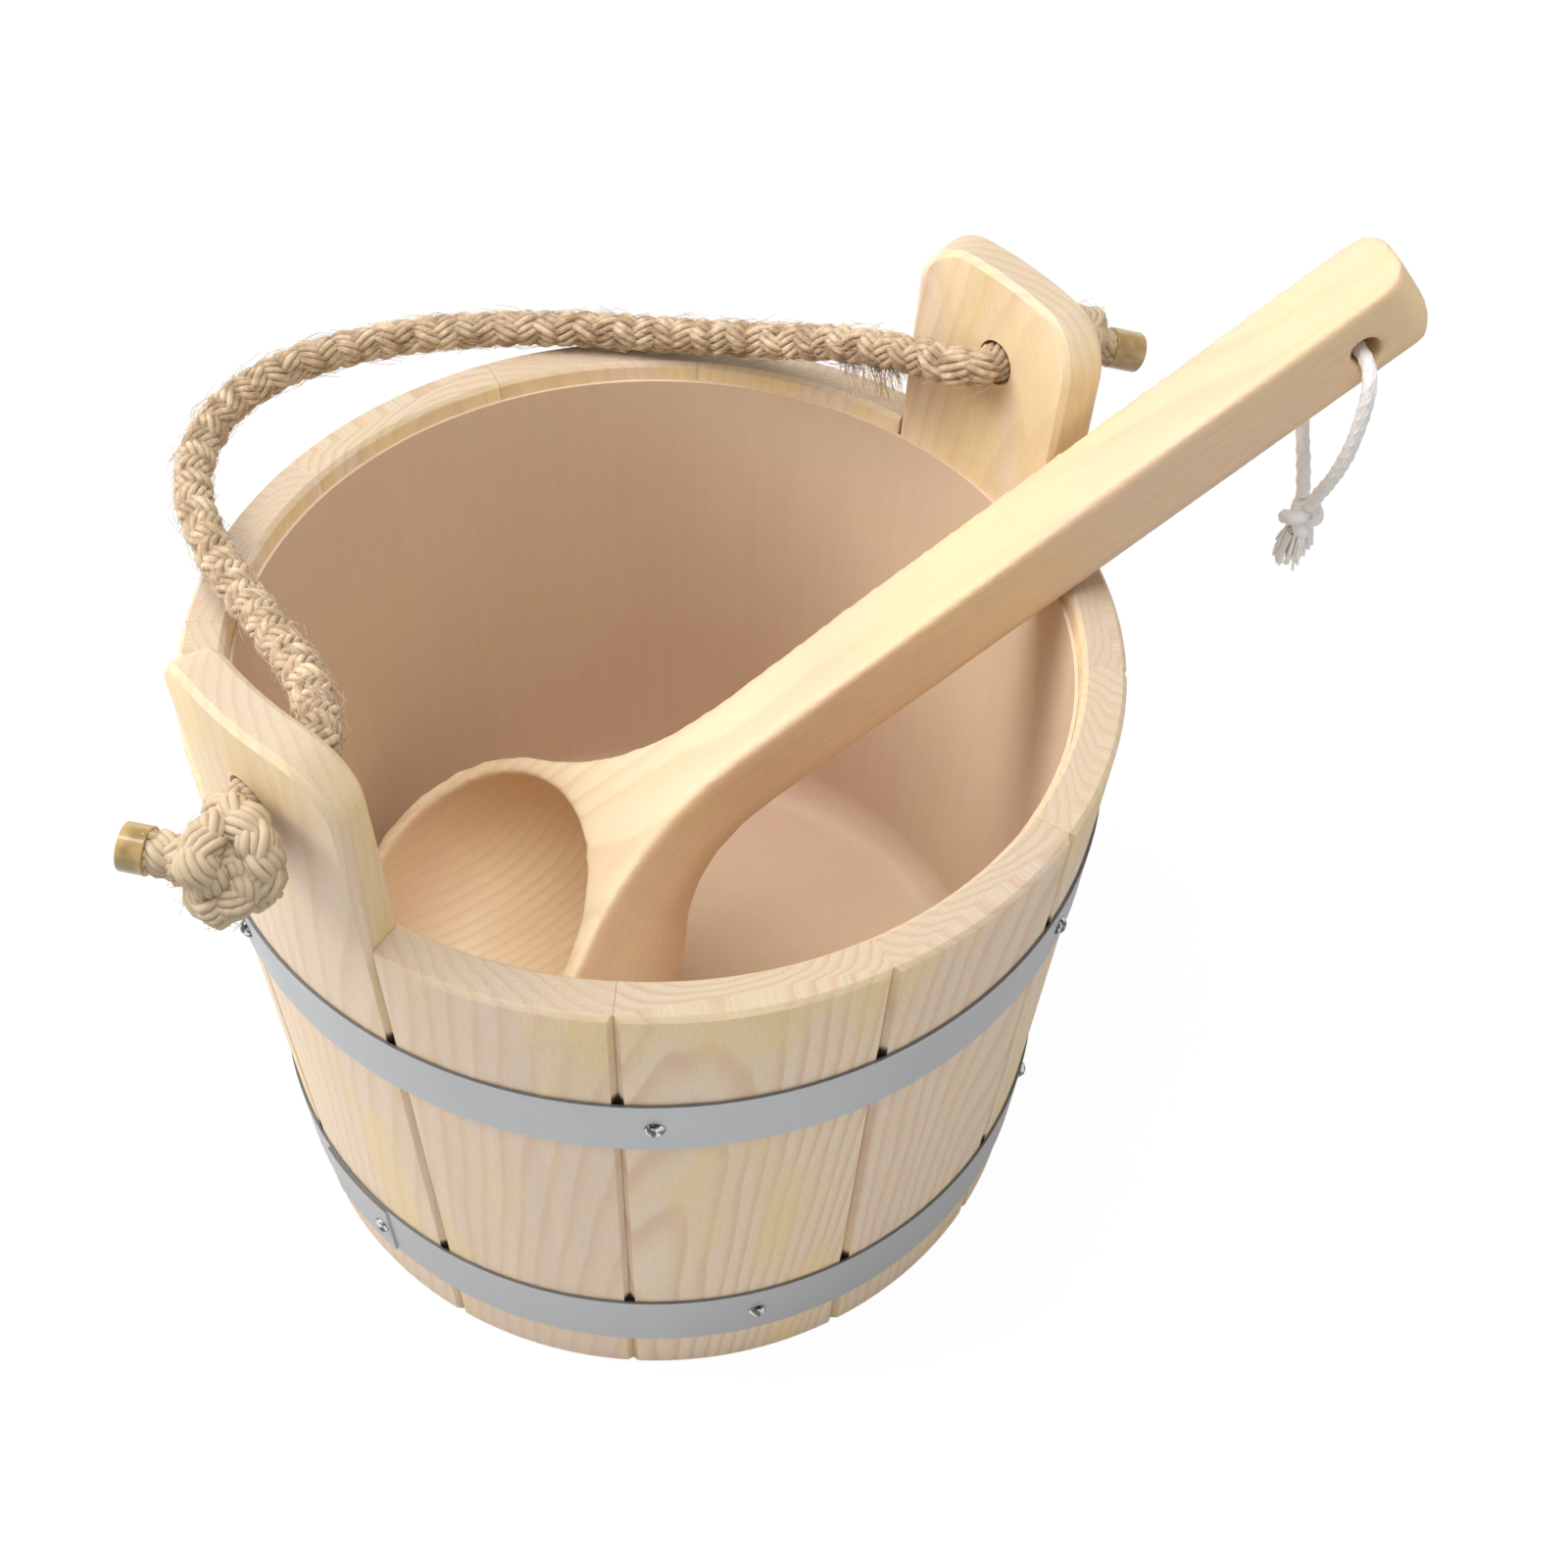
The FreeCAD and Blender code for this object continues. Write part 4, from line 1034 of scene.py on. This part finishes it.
def build_ladle(sizes):
    piece = merged_copy("ladle", "ladle_wood")
    even = piece.modifiers.new("even", "REMESH")
    even.mode = "VOXEL"
    even.voxel_size = EVEN_GRID
    even.use_smooth_shade = True
    mesh = smoothed(piece, FIRST_SMOOTHING)
    mesh = smoothed(piece, SECOND_SMOOTHING, weigh_outer_wall(piece, mesh))
    mesh.shade_smooth()
    along, across, up = on_ladle(points_of(mesh))
    give_grain(
        mesh,
        across + LADLE_HEART_ASIDE,
        up + LADLE_HEART_BELOW + along * LADLE_LEAN,
        along + LADLE_SHIFT,
    )
    # The top near the bowl gets painted light, as paler wood.
    facing = np.array([v.normal.dot(NORMAL) for v in mesh.vertices])
    top = np.clip((facing - 0.3) / 0.4, 0, 1)
    near_bowl = np.clip((PAINTED_LIGHT_REACH + PAINTED_LIGHT_FADE - along) / PAINTED_LIGHT_FADE, 0, 1)
    give_number(mesh, "figure", 0.5 + 0.4 * top)
    give_number(mesh, "light", near_bowl * top)
    material = wood_finish(
        "ladle_wood",
        pale=tuple(sizes.ladle_wood),
        ring=srgb(206, 162, 116),
        warm=srgb(233, 203, 156),
        ring_gap=LADLE_RING_GAP,
        ring_depth=0.3,
        roughness=0.5,
    )
    dress(piece, ["ladle"], "ladle", material)


# Rope

# Its way between the holes, in millimetres: along the back rim, from left to right.
ROPE_ROUTE = [
    (-68.5, -75.1, 225.3), (-72.3, -62.0, 220.5), (-80.0, -44.0, 214.0),
    (-91.5, -25.5, 207.0), (-104.0, -7.0, 200.5), (-117.5, 13.5, 196.8),
    (-128.6, 36.0, 196.2), (-131.2, 58.0, 196.1), (-124.6, 79.5, 196.1),
    (-109.5, 95.8, 196.1), (-88.5, 107.0, 196.1), (-63.0, 114.3, 196.1),
    (-36.0, 117.2, 196.1), (-9.0, 115.8, 196.6), (14.0, 110.8, 200.2),
    (33.5, 102.4, 206.8), (50.0, 91.2, 215.3), (64.9, 78.4, 222.0),
]
# Where it meets the knots inside the holes, and its straight run out of a hole.
SEAM_INSIDE = 3.0 * MM
EXIT_RUN = 5.6 * MM
# At the right ear it turns towards the hole in two bends.
FIRST_BEND = math.radians(-30)
SECOND_BEND = math.radians(-60)
# The core's radius, as a share of the rope's.
ROPE_CORE = 0.62
ROPE_STEP = 1.0 * MM
ROPE_UNEVENNESS = 0.25 * MM
# Loose fibres: how many, their length and radius.
ROPE_FIBRES = 1500
ROPE_FIBRE_LENGTH = 9 * MM
ROPE_FIBRE_RADIUS = 0.075 * MM
# Torn fibres that hang from the rope: from where to where, how far down, how many.
TORN_FROM = Vector((44.0, 95.0, 211.5)) * MM
TORN_TO = Vector((60.0, 82.5, 219.5)) * MM
TORN_FALL = Vector((1.5, -9.0, -9.5)) * MM
TORN_FIBRES = 110
TORN_FIBRE_RADIUS = 0.08 * MM


def rope_points():
    """Control points of the rope's middle line, from the left seam to the right one."""
    left = LEFT_HOLE + CHORD * SEAM_INSIDE
    right = RIGHT_HOLE - CHORD * SEAM_INSIDE
    near_right = right - CHORD * EXIT_RUN
    step = -CHORD * EXIT_RUN
    once = near_right + Quaternion(UP, FIRST_BEND) @ step
    twice = once + Quaternion(UP, SECOND_BEND) @ step
    route = [left, left + CHORD * EXIT_RUN]
    route += [Vector(point) * MM for point in ROPE_ROUTE]
    return route + [twice, once, near_right, right]


def build_rope(sizes):
    """The braid between the ears, the core that fills it and its loose fibres."""
    jute = jute_finish()
    radius = sizes.diameter / 2
    line = smooth_line(rope_points(), "rope_line")
    yarns = braid_lines(line, radius, sizes.pitch, ROPE_UNEVENNESS, seed=3)
    braid = thread_piece("rope_braid", yarns, JUTE_YARN)
    mark_depth(braid.data, [line], radius)
    dress(braid, ["rope_span"], "rope", jute)
    fibres = fibre_lines(line, radius, ROPE_FIBRES, ROPE_FIBRE_LENGTH, seed=5)
    torn = torn_tuft(TORN_FROM, TORN_TO, TORN_FALL, TORN_FIBRES, seed=8)
    for extra in (
        thread_piece("rope_core", [evenly(line, ROPE_STEP)[0]], radius * ROPE_CORE, roundness=2),
        thread_piece("rope_fuzz", fibres, ROPE_FIBRE_RADIUS, roundness=0),
        thread_piece("rope_torn", torn, TORN_FIBRE_RADIUS, roundness=0),
    ):
        dress(extra, [], "rope", jute)


# Rope knots and taped ends

KNOT_RING = 8.6 * MM
# The pulled rope of a knot is a little thinner, and its braid closer.
KNOT_THINNER = 0.97
KNOT_CLOSER = 0.7
KNOT_CORE = 0.66
KNOT_CORE_STEP = 2 * MM
KNOT_UNEVENNESS = 0.35 * MM
# The ring lies against the ear and leans; the ball of three lobes lies outside it.
RING_INSIDE = 5.5 * MM
RING_LEAN = math.radians(-14)
RING_FROM = 0.3
RING_TO = math.tau + 0.1
RING_POINTS = 60
BALL_OUT = 1 * MM
BALL_RING = KNOT_RING * 0.93
BALL_HALF = 4.3 * MM
BALL_POINTS = 90
BALL_TURN = 0.9
# Where the rope's ends run inside the knot, from the seam and from the middle.
ENTER_AT = (9 * MM, 17 * MM)
LEAVE_AT = (4 * MM, TAIL_START + 1.5 * MM)
KNOT_FIBRES = 260
KNOT_FIBRE_LENGTH = 6 * MM
KNOT_FIBRE_RADIUS = 0.05 * MM
# The tape's open end: its wall, how far its hollow narrows and how deep it goes.
TAPE_WALL = 0.7 * MM
TAPE_NARROWS = 0.2 * MM
TAPE_HOLLOW = 1.6 * MM
TAPE_EDGE = 0.3 * MM


def knot_parts(side, number):
    """Middle lines of a knot: into the hole, the ring, the ball and the way out."""
    hole, out, centre = knot_place(side)
    seam = hole - out * SEAM_INSIDE
    enter = [seam] + [seam + out * reach for reach in ENTER_AT]
    axis = Quaternion(UP.cross(out), RING_LEAN) @ out
    aside = axis.cross(UP).normalized()
    top = aside.cross(axis)
    ring = [
        centre - out * RING_INSIDE + (aside * math.cos(t) + top * math.sin(t)) * KNOT_RING
        for t in np.linspace(RING_FROM, RING_TO, RING_POINTS)
    ]
    middle = centre + out * BALL_OUT
    ball = trefoil(middle, out, BALL_RING, BALL_HALF, BALL_POINTS, BALL_TURN + number)
    leave = [centre + tail_way(side) * reach for reach in LEAVE_AT]
    return enter, ring, ball, leave


def build_knot(side, number, sizes, jute):
    """One knot: its braided turns, the cores that fill them and its loose fibres."""
    name = "rope_knot_" + side
    radius = sizes.diameter / 2
    pitch = sizes.pitch * KNOT_CLOSER
    parts = knot_parts(side, number)
    lines = []
    for seed, part in enumerate(parts):
        lines += braid_lines(part, radius * KNOT_THINNER, pitch, KNOT_UNEVENNESS, seed)
    turns = thread_piece(name + "_turns", lines, JUTE_YARN)
    mark_depth(turns.data, parts, radius)
    dress(turns, [name], "rope", jute)
    cores = [evenly(part, KNOT_CORE_STEP)[0] for part in parts]
    core = thread_piece(name + "_core", cores, radius * KNOT_CORE)
    ball = parts[2]
    fibres = fibre_lines(ball, radius, KNOT_FIBRES, KNOT_FIBRE_LENGTH, seed=30 + number)
    fuzz = thread_piece(name + "_fuzz", fibres, KNOT_FIBRE_RADIUS, roundness=0)
    for extra in (core, fuzz):
        dress(extra, [], "rope", jute)
    return [turns, core, fuzz]


def build_tape(side, tape):
    """The taped end outside a knot, with a hollow where the tape stands past the jute."""
    name = "rope_tail_" + side
    way = tail_way(side)
    tail = merged_copy(name, name + "_tape")
    work = bmesh.new()
    work.from_mesh(tail.data)
    end = max(work.faces, key=lambda face: face.normal.dot(way) + face.calc_area())
    bmesh.ops.inset_region(work, faces=[end], thickness=TAPE_WALL)
    bmesh.ops.inset_region(work, faces=[end], thickness=TAPE_NARROWS, depth=-TAPE_HOLLOW)
    work.to_mesh(tail.data)
    work.free()
    tip = knot_place(side)[2] + way * (TAIL_START + TAIL_LENGTH[side] - TAPE_EDGE)

    def in_hollow(spot, normal):
        return (spot - tip).dot(way) < 0 and normal.dot(way) > 0.9

    mark_faces(tail.data, "painted_shade", in_hollow)
    ease_edges(tail, TAPE_EDGE)
    dress(tail, [name], "rope", tape)
    return tail


def declare_rope():
    route = rope_points()
    even, length = evenly(smooth_line(route, "rope_line"), ROPE_STEP)


def build_knots(sizes):
    """The knots and taped ends, with which the rope is whole."""
    jute = bpy.data.materials["jute_rope"]
    tape = tape_finish()
    on_rope = [bpy.data.objects["rope_" + part] for part in ("core", "fuzz", "torn")]
    for number, side in enumerate(("left", "right")):
        on_rope += build_knot(side, number, sizes, jute)
        on_rope.append(build_tape(side, tape))
    declare_rope()


# Cotton loop

# Its strands, in millimetres: distance from the handle's middle line and drop below
# the hole.
FRONT_STRAND = [
    (0.0, 1.3), (6.6, 1.3), (12.7, 1.7), (16.6, 6.0), (17.4, 14.0),
    (16.8, 26.0), (13.4, 38.5), (8.6, 48.3), (6.15, 54.5),
]
BACK_STRAND = [
    (0.0, 1.3), (6.6, 1.3), (12.7, 1.7), (16.0, 6.2), (16.2, 14.5),
    (13.6, 27.0), (7.6, 38.5), (1.2, 47.6), (-1.85, 54.5),
]
LOOP_STEP = 0.5 * MM
# They are a little thinner than the cord in the knot.
STRAND_THINNER = 0.97
# The knot, seen from the hole.
LOOP_KNOT_ASIDE = 4.0 * MM
LOOP_KNOT_DROP = 60.0 * MM
LOOP_KNOT_RING = 4.3 * MM
LOOP_KNOT_HALF = 2.4 * MM
LOOP_KNOT_POINTS = 60
LOOP_KNOT_TURN = 0.4
# The frayed end: threads that start below the knot's middle and spread as they fall.
TASSEL_THREADS = 110
TASSEL_SEED = 11
TASSEL_THREAD_RADIUS = 0.4 * MM
TASSEL_DROP = 3.0 * MM
TASSEL_SHORTEST = 7.4 * MM
TASSEL_LONGEST = 9.8 * MM
TASSEL_BEND = 1.2 * MM
TASSEL_STEPS = 6
TASSEL_RADIUS = 3.9 * MM
TASSEL_SPREAD = 2.2 * MM


def tassel_threads(middle):
    """Threads of the frayed end below the loop's knot."""
    chance = random.Random(TASSEL_SEED)
    threads = []
    for _ in range(TASSEL_THREADS):
        turn = chance.uniform(0, math.tau)
        share = math.sqrt(chance.uniform(0, 1))
        out = ALONG * math.cos(turn) + ACROSS * math.sin(turn)
        length = chance.uniform(TASSEL_SHORTEST, TASSEL_LONGEST)
        bend = chance.uniform(-TASSEL_BEND, TASSEL_BEND)
        path = []
        for k in range(TASSEL_STEPS + 1):
            t = k / TASSEL_STEPS
            away = share * (TASSEL_RADIUS + TASSEL_SPREAD * t)
            wave = bend * math.sin(3 * t + turn)
            path.append(middle - UP * (TASSEL_DROP + length * t) + out * away + ACROSS * wave * t)
        threads.append(path)
    return threads


def build_loop_end(radius, cotton):
    """The loop's knot and the frayed end below it."""
    middle = LOOP_HOLE - ACROSS * LOOP_KNOT_ASIDE - UP * LOOP_KNOT_DROP
    line = trefoil(middle, ACROSS, LOOP_KNOT_RING, LOOP_KNOT_HALF, LOOP_KNOT_POINTS, LOOP_KNOT_TURN)
    knot = cotton_cord("loop_knot_turns", line, radius)
    dress(knot, ["loop_knot"], "loop", cotton)
    tassel = thread_piece("loop_tassel_threads", tassel_threads(middle), TASSEL_THREAD_RADIUS)
    dress(tassel, ["loop_tassel"], "loop", cotton)
    return [knot, tassel]


def build_loop(sizes):
    cotton = cotton_finish()
    radius = sizes.cotton / 2
    knot, tassel = build_loop_end(radius, cotton)
    for name, way, strand in (("front", -1, FRONT_STRAND), ("back", 1, BACK_STRAND)):
        points = [LOOP_HOLE + ACROSS * way * aside * MM - UP * drop * MM for aside, drop in strand]
        line = smooth_line(points, "loop_line")
        even, length = evenly(line, LOOP_STEP)
        cord = cotton_cord(f"loop_strand_{name}_cord", line, radius * STRAND_THINNER)
        dress(cord, ["loop_strand_" + name], "loop", cotton)


# Stage

CAMERA_PLACE = Vector((34.99, -378.47, 570.52)) * MM
CAMERA_ELEVATION = math.radians(49.208)
CAMERA_ROLL = math.radians(3.09)
CAMERA_LENS = 47.37

# Round lamps: name, place and aim in metres, width in metres, power in watts.
LAMPS = [
    ("key", Vector((-1.0, 0.05, 0.95)), Vector((0, 0, 0.12)), 0.8, 12.0),
    ("top", Vector((-0.05, -0.1, 1.5)), Vector((0, 0, 0.1)), 0.9, 11.5),
]

# The world's strength: on the object, what the camera sees on top of it, and what
# reflections add near the walls' foot and take away towards the ceiling.
AMBIENT = 0.53
SEEN_MORE = 0.47
WALL_GLOSS = 0.42
CEILING_GLOSS = -0.43
WALL_UP_TO = 0.2
CEILING_FROM = 0.55

FLOOR_HALF = 4.0
FLOOR_GLOW = 1.05
FLOOR_GLOW_SHARE = 0.9


def place_camera():
    """The camera at the photograph's angle."""
    back = Vector((0, -math.cos(CAMERA_ELEVATION), math.sin(CAMERA_ELEVATION)))
    right = Vector((1, 0, 0))
    look = Matrix((right, back.cross(right), back)).transposed()
    turned = look @ Matrix.Rotation(CAMERA_ROLL, 3, "Z")
    data = bpy.data.cameras.new("camera")
    data.lens = CAMERA_LENS
    camera = linked("camera", data)
    camera.matrix_world = Matrix.Translation(CAMERA_PLACE) @ turned.to_4x4()
    bpy.context.scene.camera = camera


def place_lamp(name, place, aim, width, power):
    data = bpy.data.lights.new(name, "AREA")
    data.shape = "DISK"
    data.size = width
    data.energy = power
    lamp = linked(name, data)
    lamp.location = place
    lamp.rotation_euler = (aim - place).to_track_quat("-Z", "Y").to_euler()


def build_surroundings():
    """White for the camera; in reflections the walls are white and the ceiling is dark."""
    world = bpy.data.worlds.new("surroundings")
    bpy.context.scene.world = world
    sky = Nodes(world)
    height = sky.height(sky.node("ShaderNodeTexCoord", output="Generated"))
    gloss = sky.node(
        "ShaderNodeMapRange",
        None,
        {
            "Value": height,
            "From Min": WALL_UP_TO,
            "From Max": CEILING_FROM,
            "To Min": WALL_GLOSS,
            "To Max": CEILING_GLOSS,
        },
    )
    seen = sky.node(
        "ShaderNodeMath",
        {"operation": "MAXIMUM"},
        {0: sky.ray("Is Camera Ray"), 1: sky.ray("Is Transmission Ray")},
    )
    strength = sky.ray("Is Glossy Ray") * gloss + seen * SEEN_MORE + AMBIENT
    background = sky.tree.nodes["Background"]
    sky.put(background.inputs["Strength"], strength)
    sky.put(background.inputs["Color"], (1.0, 1.0, 1.0))


def floor_finish():
    """Pale matt floor that the camera sees as almost white."""
    floor = Finish("pale_floor")
    floor.set(Base_Color=srgb(212, 212, 212), Roughness=0.9)
    matt = Term(floor, floor.shader.outputs[0])
    glow = floor.node("ShaderNodeEmission", None, {"Strength": FLOOR_GLOW})
    share = floor.ray("Is Camera Ray") * FLOOR_GLOW_SHARE
    both = floor.node("ShaderNodeMixShader", None, {0: share, 1: matt, 2: glow})
    floor.put(floor.tree.nodes["Material Output"].inputs[0], both)
    return floor.material


def build_floor():
    work = bmesh.new()
    bmesh.ops.create_grid(work, x_segments=1, y_segments=1, size=FLOOR_HALF)
    mesh = bpy.data.meshes.new("floor")
    work.to_mesh(mesh)
    work.free()
    floor = linked("floor", mesh)
    mesh.materials.append(floor_finish())


def build_stage():
    """Camera, two soft lamps, white surroundings and a pale floor."""
    bpy.context.scene.view_settings.view_transform = "Standard"
    place_camera()
    for lamp in LAMPS:
        place_lamp(*lamp)
    build_surroundings()
    build_floor()


# Operators

class BUCKET_OT_staves(bpy.types.Operator):
    """Makes the ten staves and the two ear staves."""

    bl_idname = "bucket.staves"
    bl_label = "Staves and ears"

    def execute(self, context):
        build_staves(context.scene.bucket_sizes)
        return {"FINISHED"}


class BUCKET_OT_floor(bpy.types.Operator):
    """Makes the bottom board and the liner."""

    bl_idname = "bucket.floor"
    bl_label = "Bottom board and liner"

    def execute(self, context):
        build_board()
        build_liner()
        return {"FINISHED"}


class BUCKET_OT_hoops(bpy.types.Operator):
    """Makes the two hoops with their nails and lap rivets."""

    bl_idname = "bucket.hoops"
    bl_label = "Hoops and nails"

    def execute(self, context):
        build_hoops()
        return {"FINISHED"}


class BUCKET_OT_ladle(bpy.types.Operator):
    """Makes the wooden ladle."""

    bl_idname = "bucket.ladle"
    bl_label = "Ladle"

    def execute(self, context):
        build_ladle(context.scene.bucket_sizes)
        return {"FINISHED"}


class BUCKET_OT_rope(bpy.types.Operator):
    """Makes the braided rope."""

    bl_idname = "bucket.rope"
    bl_label = "Rope"

    def execute(self, context):
        build_rope(context.scene.rope_sizes)
        return {"FINISHED"}


class BUCKET_OT_knots(bpy.types.Operator):
    """Makes the rope's two knots and its taped ends, after the rope."""

    bl_idname = "bucket.knots"
    bl_label = "Rope knots"

    def execute(self, context):
        build_knots(context.scene.rope_sizes)
        return {"FINISHED"}


class BUCKET_OT_loop(bpy.types.Operator):
    """Makes the ladle's cotton loop with its knot and tassel."""

    bl_idname = "bucket.loop"
    bl_label = "Cotton loop"

    def execute(self, context):
        build_loop(context.scene.rope_sizes)
        return {"FINISHED"}


class BUCKET_OT_stage(bpy.types.Operator):
    """Makes the camera, the light and the floor."""

    bl_idname = "bucket.stage"
    bl_label = "Stage"

    def execute(self, context):
        build_stage()
        return {"FINISHED"}


OPERATORS = [
    BUCKET_OT_staves,
    BUCKET_OT_floor,
    BUCKET_OT_hoops,
    BUCKET_OT_ladle,
    BUCKET_OT_rope,
    BUCKET_OT_knots,
    BUCKET_OT_loop,
    BUCKET_OT_stage,
]


class BUCKET_PT_pieces(bpy.types.Panel):
    """Lists the pieces that can be made."""

    bl_label = "Sauna bucket"
    bl_space_type = "VIEW_3D"
    bl_region_type = "UI"
    bl_category = "Bucket"

    def draw(self, context):
        for operator in OPERATORS:
            self.layout.operator(operator.bl_idname)


CLASSES = [BucketSizes, RopeSizes, *OPERATORS, BUCKET_PT_pieces]


def register():
    for item in CLASSES:
        bpy.utils.register_class(item)
    bpy.types.Scene.bucket_sizes = bpy.props.PointerProperty(type=BucketSizes)
    bpy.types.Scene.rope_sizes = bpy.props.PointerProperty(type=RopeSizes)


def unregister():
    del bpy.types.Scene.bucket_sizes
    del bpy.types.Scene.rope_sizes
    for item in reversed(CLASSES):
        bpy.utils.unregister_class(item)


def main():
    register()
    for operator in OPERATORS:
        group, name = operator.bl_idname.split(".")
        getattr(getattr(bpy.ops, group), name)()


if __name__ == "__main__":
    main()
